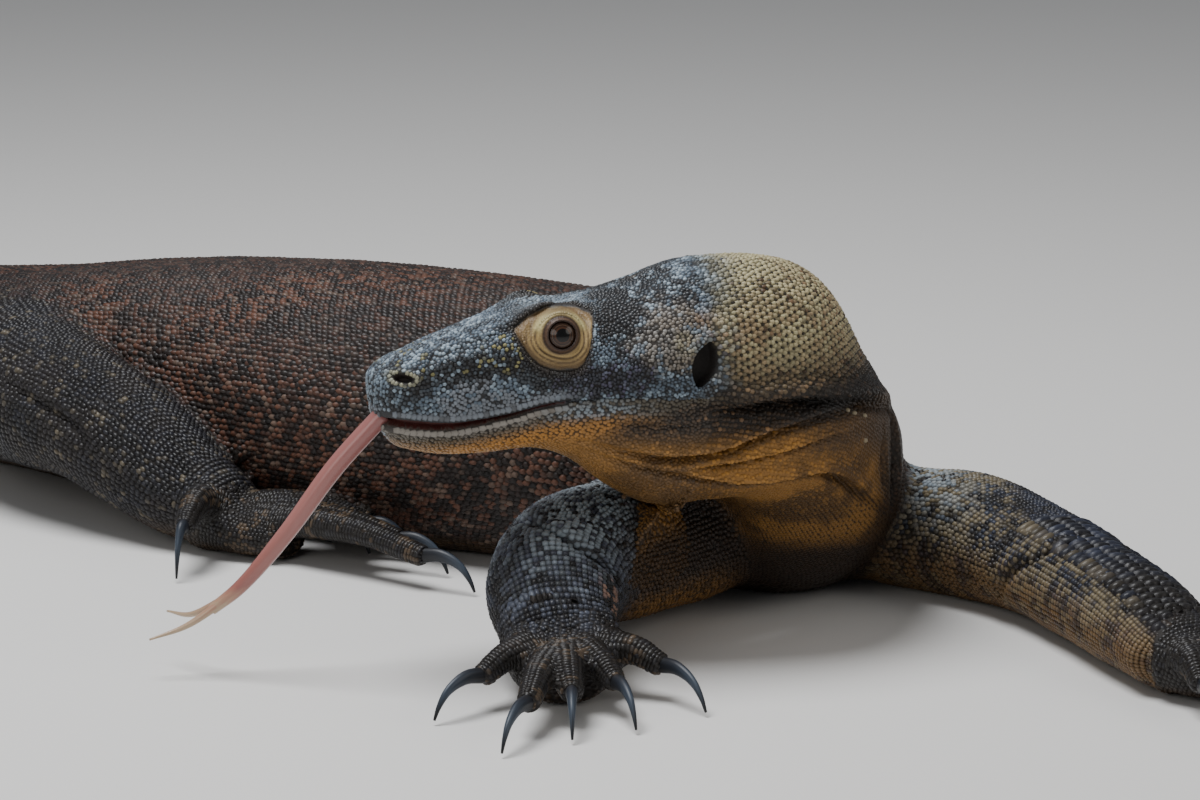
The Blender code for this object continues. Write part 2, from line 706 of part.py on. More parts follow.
def palm_cutter(foot, cutters):
    """The foot, grown by a gap along its normals, which cuts what grows from it."""
    bm = bmesh.new()
    bm.from_mesh(foot.data)
    bmesh.ops.remove_doubles(bm, verts=bm.verts, dist=1e-5)
    bm.normal_update()
    moves = [v.normal.copy() * GAP for v in bm.verts]
    for vert, move in zip(bm.verts, moves):
        vert.co += move
    mesh = bpy.data.meshes.new("foot_cutter")
    bm.to_mesh(mesh)
    bm.free()
    return add_object("foot_cutter", mesh, cutters)


def build_leg(name, body, parts, cutters):
    """Upper and lower leg, parted at the elbow or knee, and the foot."""
    last = len(LEGS[name]) - 1
    middle = last / 2
    kind = ("thigh", "shank") if name.startswith("hind") else ("upper_arm", "forearm")
    upper = loft(f"{kind[0]}_{name}", limb_rings(name, 0, middle + 0.10, 8, 14), parts)
    lower = loft(f"{kind[1]}_{name}", limb_rings(name, middle - 0.10, last - 0.02, 8, 14), parts)
    combine(upper, [*body, joint_slab(name, middle, 0.0, 0.03, cutters)], "DIFFERENCE")
    combine(lower, [*body, joint_slab(name, middle, GAP, -0.03, cutters)], "DIFFERENCE")
    keep_largest_body(upper)
    keep_largest_body(lower)
    finish(upper, "leg_skin")
    finish(lower, "leg_skin")
    build_foot(name, parts, cutters)


# ---------------------------------------------------------------- the whole animal


def main():
    for obj in list(bpy.data.objects):
        bpy.data.objects.remove(obj)
    parts = collection_named("komodo_dragon")
    cutters = collection_named("cutters")
    spine = build_spine(parts)
    jaw = part_jaw(spine["head"], parts, cutters)
    build_eyes(spine["head"], parts, cutters)
    carve_ears_and_nostrils(spine["head"], cutters)
    build_tongue(spine["head"], jaw, parts, cutters)
    finish(spine["head"], "head_skin")
    finish(jaw, "head_skin")
    finish(spine["neck"], "neck_skin")
    for name in ("trunk", "tail_base", "tail_middle", "tail_rear", "tail_tip"):
        finish(spine[name], "body_skin")
    body = [
        loft(
            "body_cutter",
            spine_rings([start - 0.06, *along(start, end, count), end + 0.06], sides, 3 * GAP),
            cutters,
        )
        for _, start, end, count, sides in SPINE_PARTS[3:6]
    ]
    for name in LEGS:
        build_leg(name, body, parts, cutters)


main()
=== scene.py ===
import math

import bmesh
import bpy
import numpy as np
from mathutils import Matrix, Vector
from mathutils.bvhtree import BVHTree


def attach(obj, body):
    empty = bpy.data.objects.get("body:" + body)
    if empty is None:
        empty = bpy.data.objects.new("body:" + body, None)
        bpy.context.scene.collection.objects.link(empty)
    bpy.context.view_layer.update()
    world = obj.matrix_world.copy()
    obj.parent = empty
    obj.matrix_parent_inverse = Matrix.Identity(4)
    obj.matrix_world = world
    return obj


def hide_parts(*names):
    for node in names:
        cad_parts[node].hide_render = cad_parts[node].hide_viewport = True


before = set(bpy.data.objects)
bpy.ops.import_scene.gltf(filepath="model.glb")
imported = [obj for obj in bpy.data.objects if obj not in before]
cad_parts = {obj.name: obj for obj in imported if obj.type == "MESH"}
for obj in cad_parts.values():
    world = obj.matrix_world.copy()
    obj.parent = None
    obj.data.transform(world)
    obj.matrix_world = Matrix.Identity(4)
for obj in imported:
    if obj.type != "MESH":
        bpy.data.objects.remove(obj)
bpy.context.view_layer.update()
dice = np.random.default_rng(20)

# Stations of the body from the tail's tip: x, y, z, half width, rise, drop, squareness.
body = dict(
    tail=[
        (-1.405, 0.17, 0.0065, 0.0022, 0.003, 0.007, 2.0),
        (-1.29, 0.262, 0.011, 0.0058, 0.009, 0.0115, 2.0),
        (-1.09, 0.355, 0.018, 0.0105, 0.018, 0.0185, 2.0),
        (-0.88, 0.398, 0.026, 0.0165, 0.026, 0.027, 2.0),
        (-0.68, 0.385, 0.034, 0.0245, 0.0335, 0.0355, 2.1),
        (-0.5, 0.325, 0.043, 0.037, 0.039, 0.045, 2.2),
        (-0.365, 0.25, 0.053, 0.054, 0.043, 0.056, 2.3),
    ],
    trunk=[
        (-0.245, 0.17, 0.06, 0.076, 0.048, 0.066, 2.4),
        (-0.12, 0.085, 0.064, 0.093, 0.064, 0.072, 2.4),
        (0.000, 0.000, 0.066, 0.104, 0.07, 0.076, 2.4),
        (0.108, -0.071, 0.065, 0.096, 0.067, 0.074, 2.3),
        (0.186, -0.134, 0.06, 0.07, 0.052, 0.07, 2.2),
    ],
    neck=[
        (0.202, -0.193, 0.08, 0.054, 0.045, 0.064, 2.1),
        (0.192, -0.236, 0.109, 0.048, 0.052, 0.052, 2.1),
        (0.172, -0.266, 0.133, 0.0475, 0.062, 0.064, 2.1),
    ],
    head=[  # reach behind the snout's tip, half width, rise, drop, squareness
        (0.162, 0.046, 0.0515, 0.076, 2.1),
        (0.139, 0.0445, 0.044, 0.07, 2.2),
        (0.119, 0.0415, 0.0385, 0.059, 2.3),
        (0.0985, 0.037, 0.035, 0.044, 2.5),
        (0.08, 0.031, 0.034, 0.038, 2.6),
        (0.057, 0.0258, 0.0275, 0.0395, 2.5),
        (0.035, 0.0228, 0.02, 0.039, 2.4),
        (0.018, 0.0205, 0.0135, 0.035, 2.3),
        (0.0000, 0.0175, 0.009, 0.029, 2.2),
    ],
    headAxis=(-0.951, -0.309, 0.0),
    snoutTip=(-0.012, -0.3335, 0.144),
    headLine=0.146,
    noseRounding=0.016,
)

# Limb stations from inside the body to the wrist: x, y, z, half size across, half size through.
limbs = dict(
    foreRight=[
        (0.178, -0.15, 0.052, 0.04, 0.04),
        (0.144, -0.196, 0.044, 0.043, 0.04),
        (0.113, -0.244, 0.0415, 0.0385, 0.0355),
        (0.088, -0.281, 0.0425, 0.0365, 0.0345),
        (0.0775, -0.317, 0.0372, 0.0335, 0.0305),
        (0.079, -0.344, 0.0285, 0.029, 0.0225),
        (0.082, -0.357, 0.0215, 0.0275, 0.018),
    ],
    foreLeft=[
        (0.212, -0.128, 0.04, 0.038, 0.034),
        (0.258, -0.15, 0.0305, 0.038, 0.031),
        (0.294, -0.176, 0.0305, 0.0365, 0.0325),
        (0.322, -0.214, 0.0275, 0.0335, 0.0278),
        (0.342, -0.264, 0.0262, 0.03, 0.0256),
        (0.363, -0.325, 0.0235, 0.0285, 0.023),
        (0.376, -0.362, 0.019, 0.027, 0.0178),
    ],
    hindRight=[
        (-0.238, 0.135, 0.055, 0.046, 0.044),
        (-0.231, 0.076, 0.061, 0.05, 0.046),
        (-0.208, 0.019, 0.063, 0.041, 0.041),
        (-0.18, -0.018, 0.059, 0.035, 0.036),
        (-0.15, -0.044, 0.045, 0.032, 0.033),
        (-0.126, -0.064, 0.031, 0.028, 0.028),
        (-0.108, -0.077, 0.023, 0.024, 0.022),
    ],
    hindLeft=[
        (-0.24, 0.195, 0.055, 0.046, 0.042),
        (-0.202, 0.232, 0.052, 0.05, 0.042),
        (-0.156, 0.26, 0.05, 0.045, 0.041),
        (-0.12, 0.287, 0.048, 0.041, 0.038),
        (-0.102, 0.322, 0.04, 0.0365, 0.034),
        (-0.101, 0.354, 0.028, 0.029, 0.0265),
        (-0.096, 0.372, 0.022, 0.025, 0.0215),
    ],
)

# Feet: heading, palm reach, palm half width, digit radius, and for each digit its heading,
# reach, height, claw heading and claw reach. Headings in degrees from +X towards +Y.
feet = dict(
    foreRight=(-88, 0.034, 0.0255, 0.0074, [
        (-24, 0.051, 0.017, -65, 0.037),
        (-63, 0.055, 0.0165, -76, 0.033),
        (-86, 0.068, 0.0165, -90, 0.029),
        (-100, 0.086, 0.0165, -112, 0.036),
        (-133, 0.054, 0.017, -131, 0.034),
    ]),
    foreLeft=(-30, 0.034, 0.0255, 0.0074, [
        (-84, 0.051, 0.017, -78, 0.034),
        (-59, 0.06, 0.0165, -54, 0.033),
        (-36, 0.074, 0.0165, -34, 0.031),
        (-18, 0.082, 0.0165, -12, 0.034),
        (17, 0.056, 0.017, 14, 0.034),
    ]),
    hindRight=(-34, 0.05, 0.022, 0.0074, [
        (-14, 0.063, 0.018, -16, 0.024),
        (-18, 0.087, 0.02, -20, 0.027),
        (-28, 0.114, 0.018, -24, 0.03),
        (-38, 0.146, 0.018, -26, 0.032),
        (-100, 0.062, 0.027, -104, 0.016),
    ]),
    hindLeft=(34, 0.05, 0.023, 0.0074, [
        (4, 0.076, 0.016, 0, 0.03),
        (20, 0.1, 0.0165, 16, 0.031),
        (33, 0.121, 0.0165, 28, 0.032),
        (46, 0.137, 0.017, 40, 0.033),
        (104, 0.062, 0.018, 98, 0.028),
    ]),
)

up = np.array((0.0, 0.0, 1.0))
headAxis = np.array(body["headAxis"]) / np.linalg.norm(body["headAxis"])
snoutTip = np.array(body["snoutTip"])
headAcross = np.cross(headAxis, up)
headLine = body["headLine"]


def bodyTable():
    rows = body["tail"] + body["trunk"] + body["neck"]
    for reach, *sizes in body["head"]:
        centre = snoutTip - headAxis * reach
        rows = rows + [(centre[0], centre[1], headLine, *sizes)]
    return np.array(rows)


spine = bodyTable()
firstTrunk = len(body["tail"])
firstNeck = firstTrunk + len(body["trunk"])
firstHead = firstNeck + len(body["neck"])
snoutEnd = len(spine) - 1


def ease(low, high, value):  # from 0 at the low value to 1 at the high one
    share = np.clip((value - low) / (high - low), 0, 1)
    return share * share * (3 - 2 * share)


def bell(*offsets):  # 1 where every offset is 0, fading out as they pass 1
    return np.exp(-sum(offset**2 for offset in offsets))


def unit(vectors):
    return vectors / np.maximum(np.linalg.norm(vectors, axis=-1), 1e-12)[..., None]


def runAlong(points):  # the distance run from the first point to each
    return np.concatenate([[0.0], np.cumsum(np.linalg.norm(np.diff(points, axis=0), axis=1))])


def fullTurn(count):
    return np.linspace(0, 2 * math.pi, count, endpoint=False)


def readRows(at, run, rows):  # rows of numbers, read between the places of a run
    return np.stack([np.interp(at, run, column) for column in rows.T], axis=1)


def hermite(knots, values, t):
    secants = np.diff(values, axis=0) / np.diff(knots)[:, None]
    slopes = np.vstack([secants[:1], (secants[1:] + secants[:-1]) / 2, secants[-1:]])
    t = np.clip(t, knots[0], knots[-1])
    i = np.clip(np.searchsorted(knots, t, side="right") - 1, 0, len(knots) - 2)
    h = (knots[i + 1] - knots[i])[:, None]
    w = ((t - knots[i]) / (knots[i + 1] - knots[i]))[:, None]
    return (
        values[i] * (1 + 2 * w) * (1 - w) ** 2
        + h * slopes[i] * w * (1 - w) ** 2
        + values[i + 1] * w * w * (3 - 2 * w)
        + h * slopes[i + 1] * w * w * (w - 1)
    )


def smoothPath(points, values, t):  # read at station numbers, smooth in the distance run
    run = runAlong(points)
    return hermite(run, values, np.interp(t, np.arange(len(run)), run))


def pathFrames(points, t):
    ahead = smoothPath(points, points, t + 1e-3)
    behind = smoothPath(points, points, t - 1e-3)
    tangent = unit(ahead - behind)
    side = unit(np.cross(tangent, up))
    return smoothPath(points, points, t), tangent, side, np.cross(side, tangent)


def ringGrid(centre, side, lift, angles, sizes):  # sizes: half width, rise, drop, squareness
    wide, rise, drop, square = (sizes[:, i, None] for i in range(4))
    c, s = np.cos(angles)[None, :], np.sin(angles)[None, :]
    out = wide * np.sign(c) * np.abs(c) ** (2 / square)
    high = np.where(s > 0, rise, drop) * np.sign(s) * np.abs(s) ** (2 / square)
    grid = centre[:, None] + out[..., None] * side[:, None] + high[..., None] * lift[:, None]
    grid[..., 2] = np.maximum(grid[..., 2], 0)  # whatever would sink is laid flat on the floor
    return grid


def headPlace(points):  # reach behind the snout's tip, offset across, height above the floor
    flat = points - snoutTip
    return -(flat @ headAxis), flat @ headAcross, points[..., 2]


def spineGrid(t, angles):
    sizes = smoothPath(spine[:, :3], spine[:, 3:], t)
    centre, _, side, lift = pathFrames(spine[:, :3], t)
    nose = np.linalg.norm(spine[-1, :3] - centre, axis=1)
    share = np.clip(1 - nose / body["noseRounding"], 0, 1)
    close = np.where(t > firstHead, np.sqrt(1 - share**2), 1.0)
    sizes[:, :3] *= close[:, None]
    grid = ringGrid(centre, side, lift, angles, sizes)
    reach, lateral, height = headPlace(grid)
    height = height - headLine
    brow = bell((reach - 0.082) / 0.013, (np.abs(lateral) - 0.021) / 0.008)
    cheek = bell((reach - 0.128) / 0.018, (height - 0.004) / 0.018)
    onHead = (t > firstHead - 1)[:, None]
    grid[..., 2] += 0.0045 * brow * (height > 0.015) * onHead
    grid += (0.0025 * cheek * np.sign(lateral) * onHead)[..., None] * headAcross
    return grid


def domed(centre, tangent, sizes, t, end, length):  # past its end number a tube closes as a dome
    turn = np.clip(t - end, 0, 1) * math.pi / 2
    centre = centre + tangent * (length * np.sin(turn))[:, None]
    sizes[:, :3] *= np.maximum(np.cos(turn), 0.02)[:, None]
    return centre


def limbGrid(name, t, angles):
    table = np.array(limbs[name])
    end = len(table) - 1.0
    centre, tangent, side, lift = pathFrames(table[:, :3], np.minimum(t, end))
    across, through = smoothPath(table[:, :3], table[:, 3:], np.minimum(t, end)).T
    sizes = np.stack([across, through, through, np.full(len(t), 2.1)], axis=1)
    centre = domed(centre, tangent, sizes, t, end, through[-1] * 0.8)
    return ringGrid(centre, side, lift, angles, sizes)


def tubeGrid(rows, t, angles, flatten=1.0):  # a tapering tube through x, y, z, radius
    table = np.array(rows)
    end = len(table) - 1.0
    centre, tangent, side, lift = pathFrames(table[:, :3], np.minimum(t, end))
    radius = smoothPath(table[:, :3], table[:, 3:], np.minimum(t, end))[:, 0]
    sizes = np.stack([radius * flatten, radius, radius, np.full(len(t), 2.0)], axis=1)
    centre = domed(centre, tangent, sizes, t, end, radius[-1] * 0.5)
    return ringGrid(centre, side, lift, angles, sizes)


def heading(degrees):
    return np.array((math.cos(math.radians(degrees)), math.sin(math.radians(degrees)), 0.0))


def wristOf(name):
    return np.array((*limbs[name][-1][:2], 0.0))


def palmGrid(name, t, angles):
    azimuth, reach, halfWidth, _, _ = feet[name]
    last = limbs[name][-1]
    way = heading(azimuth)
    table = np.array([
        (-0.08, last[2], last[3], last[4]),
        (0.45, 0.015, halfWidth * 1.05, 0.015),
        (1.0, 0.0125, halfWidth * 0.75, 0.0115),
    ])
    share, height, across, through = hermite(np.arange(3.0), table, t).T
    centre = wristOf(name) + way * (reach * share + 0.0006)[:, None] + up * height[:, None]
    side = np.broadcast_to(np.cross(way, up), centre.shape)
    lift = np.broadcast_to(up, centre.shape)
    sizes = np.stack([across, through, through, np.full(len(t), 2.2)], axis=1)
    return ringGrid(centre, side, lift, angles, sizes)


def digitRows(name, digit):
    azimuth, reach, _, radius, _ = feet[name]
    wrist = wristOf(name)
    base = wrist + heading(azimuth) * reach * 0.3
    way = heading(digit[0]) * digit[1]
    knuckle = digit[2] + 0.006
    return [
        (base[0], base[1], 0.0135, radius),
        (wrist[0] + way[0] * 0.4, wrist[1] + way[1] * 0.4, knuckle * 0.95, radius * 1.15),
        (wrist[0] + way[0] * 0.72, wrist[1] + way[1] * 0.72, knuckle, radius),
        (wrist[0] + way[0], wrist[1] + way[1], digit[2], radius * 0.82),
    ]


claw = dict(
    rootRadius=0.0041, taper=0.0034, tipHeight=0.002, arch=0.0032,
    # The claws are darkest at root and tip; the paler blue band near their middle is a painted sheen.
    tints=[(0.0, (24, 23, 24)), (0.25, (38, 42, 50)), (0.55, (60, 70, 82)), (0.8, (30, 33, 38)),
           (1.0, (16, 16, 18))],
)


def clawRows(name, digit):
    root = wristOf(name) + heading(digit[0]) * digit[1]
    way = heading(digit[0]) * 0.25 + heading(digit[3]) * 0.75
    way /= np.linalg.norm(way)
    rows = []
    for share in (0.0, 0.3, 0.62, 0.85, 1.0):
        place = root + way * digit[4] * (0.5 * math.sin(share * math.pi / 2) + 0.5 * share)
        drop = digit[2] - claw["tipHeight"]
        height = digit[2] + claw["arch"] * math.sin(share * math.pi) - drop * share**2
        rows.append((place[0], place[1], height, claw["rootRadius"] - claw["taper"] * share**1.3))
    return rows


def gridFaces(rows, sides):  # outward quads of a grid, with a fan at either end
    r, c = np.meshgrid(np.arange(rows - 1), np.arange(sides), indexing="ij")
    n = (c + 1) % sides
    quads = np.stack([r * sides + c, (r + 1) * sides + c, (r + 1) * sides + n, r * sides + n], axis=-1)
    faces = [tuple(q) for q in quads.reshape(-1, 4).tolist()]
    first, last = rows * sides, rows * sides + 1
    faces += [(first, i, (i + 1) % sides) for i in range(sides)]
    base = (rows - 1) * sides
    faces += [(last, base + (i + 1) % sides, base + i) for i in range(sides)]
    return faces


def gridPoints(grid):
    ends = [grid[0].mean(axis=0), grid[-1].mean(axis=0)]
    return np.vstack([grid.reshape(-1, 3), ends])


def makeMesh(name, points, faces):
    mesh = bpy.data.meshes.new(name)
    mesh.from_pydata([tuple(p) for p in points], [], faces)
    mesh.update()
    return mesh


def makeObject(name, data):
    obj = bpy.data.objects.new(name, data)
    bpy.context.scene.collection.objects.link(obj)
    return obj


def plainMesh(obj):  # the evaluated result as a mesh of its own
    bpy.context.view_layer.update()
    graph = bpy.context.evaluated_depsgraph_get()
    return bpy.data.meshes.new_from_object(obj.evaluated_get(graph))


def readVectors(items, key):
    flat = np.empty(len(items) * 3, np.float32)
    items.foreach_get(key, flat)
    return flat.reshape(-1, 3).astype(float)


def meshPoints(mesh):
    return readVectors(mesh.vertices, "co")


def setPoints(mesh, points):
    mesh.vertices.foreach_set("co", points.astype(np.float32).ravel())
    mesh.update()


def addAttribute(mesh, name, kind, values):  # one value for each point
    if kind == "FLOAT_COLOR":
        values = np.hstack([values, np.ones((len(values), 1))])
    key = {"FLOAT": "value", "FLOAT_VECTOR": "vector", "FLOAT_COLOR": "color"}[kind]
    mesh.attributes.new(name, kind, "POINT").data.foreach_set(key, values.astype(np.float32).ravel())


skin = dict(
    coatDepth=0.0009,  # the scales stand this much over the skin
    voxel=0.0032,
    fitPasses=2, fitReach=0.02,
    limbBlend=0.011,  # how softly a limb grows out of the body
    footBlend=0.008,
    triangles=196000,
    lumps=0.0006,
)


def spineStations(start, end, pitch):
    dense = np.linspace(start, end, 2000)
    places = smoothPath(spine[:, :3], spine[:, :3], dense)
    run = runAlong(places)
    count = max(3, int(run[-1] / pitch))
    return np.interp(np.linspace(0, run[-1], count), run, dense)


parts = {}


def addPart(name, grid, blend):
    points = gridPoints(grid)
    faces = gridFaces(grid.shape[0], grid.shape[1])
    tree = BVHTree.FromPolygons([tuple(p) for p in points], faces)
    parts[name] = dict(grid=grid, points=points, faces=faces, tree=tree, blend=blend,
                       low=points.min(axis=0), high=points.max(axis=0))


def buildParts():
    noseCrowd = snoutEnd - 0.9 * (1 - np.linspace(0, 1, 14)) ** 1.7
    t = np.concatenate([spineStations(0, snoutEnd - 0.9, 0.003), noseCrowd[1:]])
    addPart("spine", spineGrid(t, fullTurn(96)), 0)
    parts["spine"]["t"] = t
    for name, rows in limbs.items():
        grid = limbGrid(name, np.linspace(0, len(rows) - 0.02, 62), fullTurn(48))
        addPart(name, grid, skin["limbBlend"])
    for name, foot in feet.items():
        addPart(name + "Palm", palmGrid(name, np.linspace(0, 2, 20), fullTurn(40)), skin["footBlend"])
        for number, digit in enumerate(foot[4]):
            grid = tubeGrid(digitRows(name, digit), np.linspace(0, 3.95, 34), fullTurn(24))
            addPart(f"{name}Digit{number}", grid, skin["footBlend"])


buildParts()
print("parts:", len(parts))


def signedDistance(points, part, reachOut=0.025):  # and each point's nearest place, normal and face
    shape = parts[part]
    value = np.full(len(points), 1.0)
    normal = np.zeros((len(points), 3))
    face = np.full(len(points), -1)
    near = np.all((points > shape["low"] - reachOut) & (points < shape["high"] + reachOut), axis=1)
    find = shape["tree"].find_nearest
    for i in np.flatnonzero(near):
        place, facing, index, distance = find(points[i].tolist(), reachOut)
        if place is None:
            continue
        offset = points[i] - place
        outside = offset @ facing > 0
        value[i] = distance if outside else -distance
        if distance > 2e-4:
            normal[i] = offset / distance if outside else -offset / distance
        else:
            normal[i] = facing
        face[i] = index
    return value, normal, face


def bodyField(points):  # distance to the whole animal with its limbs blended on
    value, normal, _ = signedDistance(points, "spine")
    for name, shape in parts.items():
        if name == "spine":
            continue
        other, otherNormal, _ = signedDistance(points, name, 0.015)
        share = np.clip(0.5 + 0.5 * (value - other) / shape["blend"], 0, 1)
        share[other > 0.9] = 0
        value = value * (1 - share) + other * share - shape["blend"] * share * (1 - share) * (other < 0.9)
        normal = normal * (1 - share[:, None]) + otherNormal * share[:, None]
    return value, unit(normal)


def cloud(points, size, seed):  # soft noise from 0 to 1
    cell = points / size + seed * 17.31
    base = np.floor(cell).astype(np.int64)
    w = cell - base
    w = w * w * (3 - 2 * w)
    total = np.zeros(len(points))
    for corner in range(8):
        step = np.array([(corner >> k) & 1 for k in range(3)])
        key = (base + step) @ np.array([73856093, 19349663, 83492791]) + seed * 7919
        key = (key ^ (key >> 13)) * 1274126177
        value = ((key ^ (key >> 16)) & 0xFFFF) / 65535.0
        total += value * np.prod(np.where(step, w, 1 - w), axis=1)
    return total


def spots(points, spacing, seed):  # distance to the nearest of scattered spots, in spacings
    cell = np.floor(points / spacing).astype(np.int64)
    best = np.full(len(points), 9.0)
    for step in np.ndindex(3, 3, 3):
        corner = cell + np.array(step) - 1
        key = corner @ np.array([73856093, 19349663, 83492791]) + seed * 104729
        shift = []
        for _ in range(3):
            key = (key ^ (key >> 13)) * 1274126177 & 0x7FFFFFFF
            shift.append((key & 0xFFFF) / 65535.0)
        place = (corner + np.stack(shift, axis=1)) * spacing
        best = np.minimum(best, np.linalg.norm(points - place, axis=1) / spacing)
    return best


eye = dict(
    reach=0.089, side=0.024, height=0.1672, radius=0.0108,
    lookUp=0.16, lookAhead=0.1,
    opening=0.0065, lidThickness=0.0009,
)
mouth = dict(
    line=[(-0.03, 0.1282), (0.004, 0.1275), (0.038, 0.1248), (0.062, 0.1288), (0.086, 0.1352),
          (0.122, 0.1378), (0.14, 0.1366)],
    gape=[(0.0, 0.0013), (0.012, 0.0019), (0.035, 0.0017), (0.06, 0.0009), (0.085, 0.0005), (0.14, 0.0004)],
    depth=[(0.0, 0.005), (0.06, 0.004), (0.08, 0.002), (0.12, 0.0014), (0.14, 0.0)],
)
nostril = dict(reach=0.0135, height=0.1492, halfLength=0.0042, halfHeight=0.0021, depth=0.0042, tilt=0.1)
ear = dict(reach=0.1565, height=0.152, halfLength=0.0128, halfWidth=0.0072, depth=0.0075, tilt=0.32)

# Each fold: its line, how deep its groove and how high its ridge are, and its width. The ridge
# lies on the side that "over" points to.
folds = dict(
    neckShelf=dict(
        line=[(0.156, -0.326, 0.131), (0.1651, -0.3223, 0.1284), (0.1868, -0.3118, 0.1291),
              (0.2105, -0.2937, 0.1262), (0.2354, -0.2534, 0.1176), (0.2474, -0.2159, 0.107)],
        groove=0.0085, ridge=0.0056, width=0.0044, over=(0, 0, 1)),
    throatArc=dict(
        line=[(0.232, -0.262, 0.117), (0.2121, -0.2918, 0.119), (0.1929, -0.3072, 0.1162),
              (0.1776, -0.3143, 0.1125), (0.1654, -0.318, 0.1081), (0.1503, -0.3218, 0.105),
              (0.1319, -0.3258, 0.1049), (0.1154, -0.329, 0.1081), (0.0986, -0.3303, 0.1124)],
        groove=0.0072, ridge=0.0042, width=0.0032, over=(0, 0, 1)),
    throatCrease=dict(
        line=[(0.225, -0.274, 0.108), (0.207, -0.293, 0.1065), (0.185, -0.306, 0.103),
              (0.164, -0.314, 0.0998), (0.144, -0.32, 0.0995), (0.125, -0.325, 0.101)],
        groove=0.0036, ridge=0.002, width=0.0022, over=(0, 0, 1)),
    throatRidge=dict(
        line=[(0.1, -0.328, 0.106), (0.1106, -0.3271, 0.103), (0.1305, -0.3226, 0.0966),
              (0.149, -0.3172, 0.0922), (0.1658, -0.3083, 0.088), (0.1876, -0.2983, 0.0875),
              (0.2079, -0.2845, 0.0875), (0.2196, -0.2694, 0.0812), (0.2301, -0.2518, 0.07),
              (0.2412, -0.2289, 0.058)],
        groove=0.0056, ridge=0.005, width=0.0034, over=(0, 0, 1)),
    throatFarRidge=dict(
        line=[(0.095, -0.292, 0.1), (0.116, -0.277, 0.093), (0.138, -0.256, 0.086), (0.156, -0.23, 0.082)],
        groove=0.0034, ridge=0.003, width=0.0034, over=(0, 0, 1)),
    jawFold=dict(
        line=[(0.106, -0.335, 0.125), (0.122, -0.334, 0.1225), (0.14, -0.33, 0.1215),
              (0.158, -0.325, 0.1235)],
        groove=0.0018, ridge=0.001, width=0.0024, over=(0, 0, 1)),
    earFold=dict(
        line=[(0.144, -0.314, 0.1815), (0.1467, -0.3169, 0.1785), (0.15, -0.3217, 0.173),
              (0.1563, -0.3218, 0.1671), (0.1596, -0.324, 0.1563), (0.156, -0.3274, 0.1423)],
        groove=0.0, ridge=0.0024, width=0.0022, over=(1, 0, 0)),
    shoulderPleat=dict(
        line=[(0.2478, -0.222, 0.11), (0.248, -0.2265, 0.0928), (0.2486, -0.2207, 0.0707),
              (0.2482, -0.2071, 0.0492)],
        groove=0.0045, ridge=0.0028, width=0.0036, over=(1, 0.6, 0)),
    shoulderCrease=dict(
        line=[(0.2385, -0.24, 0.098), (0.24, -0.239, 0.084), (0.242, -0.23, 0.068)],
        groove=0.0024, ridge=0.0014, width=0.0026, over=(1, 0.6, 0)),
    elbowLeft=dict(
        line=[(0.34, -0.262, 0.0525), (0.3328, -0.2673, 0.0505), (0.3194, -0.266, 0.043),
              (0.3091, -0.256, 0.0334), (0.303, -0.245, 0.023), (0.301, -0.23, 0.01)],
        groove=0.0042, ridge=0.0022, width=0.0038, over=(-1, 0, 0.3)),
    elbowRight=dict(
        line=[(0.056, -0.295, 0.068), (0.0655, -0.3023, 0.0698), (0.0804, -0.322, 0.066),
              (0.0942, -0.329, 0.0586), (0.106, -0.3263, 0.0492), (0.11, -0.3233, 0.038)],
        groove=0.0036, ridge=0.0012, width=0.0034, over=(0, 1, 0.5)),
    kneeRight=dict(
        line=[(-0.2312, -0.0131, 0.0805), (-0.2121, -0.0346, 0.0726), (-0.1951, -0.0502, 0.0665),
              (-0.185, -0.0587, 0.0611), (-0.176, -0.06, 0.05)],
        groove=0.0035, ridge=0.0012, width=0.0045, over=(1, 0, 0.5)),
    hipRight=dict(
        line=[(-0.175, 0.03, 0.088), (-0.16, 0.004, 0.075), (-0.146, -0.016, 0.055),
              (-0.135, -0.026, 0.035)],
        groove=0.004, ridge=0.0, width=0.006, over=(1, 0, 0.5)),
)

# The brow's edge, which runs on to the nostril: reach, distance across and height.
browEdge = [(0.113, 0.033, 0.175), (0.1, 0.029, 0.1795), (0.088, 0.024, 0.1808), (0.076, 0.0215, 0.1785),
            (0.066, 0.0205, 0.1725), (0.05, 0.0195, 0.1655), (0.032, 0.0174, 0.16), (0.018, 0.0155, 0.1555)]


def readLine(rows, at):
    table = np.array(rows)
    return hermite(table[:, 0], table[:, 1:], np.ravel(at))[:, 0].reshape(np.shape(at))


def eyeFrame(sign):  # centre, axis, forward and upward directions of one eye
    centre = snoutTip - headAxis * eye["reach"] + headAcross * sign * eye["side"]
    centre[2] = eye["height"]
    axis = headAcross * sign + up * eye["lookUp"] + headAxis * eye["lookAhead"]
    axis /= np.linalg.norm(axis)
    ahead = headAxis - axis * (headAxis @ axis)
    ahead /= np.linalg.norm(ahead)
    return centre, axis, ahead, np.cross(ahead, axis) * sign


def eyePlace(points, sign):  # along the eye's axis, ahead and above, from its centre
    centre, axis, ahead, above = eyeFrame(sign)
    if above[2] < 0:
        above = -above
    offset = points - centre
    return offset @ axis, offset @ ahead, offset @ above, axis


def lidShare(ahead, above):  # how far inside the lids' outline, whose rear corner is high and round
    front = ahead > 0
    far = np.abs(ahead)
    top = 0.0134 - np.where(front, 0.0098 * (far / 0.021) ** 2, 0.0046 * (far / 0.0165) ** 2.6)
    drop = np.where(front, 0.019 * (far / 0.0214) ** 2.6, 0.0246 * (far / 0.0168) ** 5)
    rounding = 0.0014
    low = np.clip((above + 0.0162 - np.minimum(drop, 0.08)) / rounding, -60, 60)
    high = np.clip((top - above) / rounding, -60, 60)
    return -rounding * np.log(np.exp(-low) + np.exp(-high))


def lipLevel(reach, height):  # how far a height is over the line between the lips
    return height - readLine(mouth["line"], np.clip(reach, -0.03, 0.14))


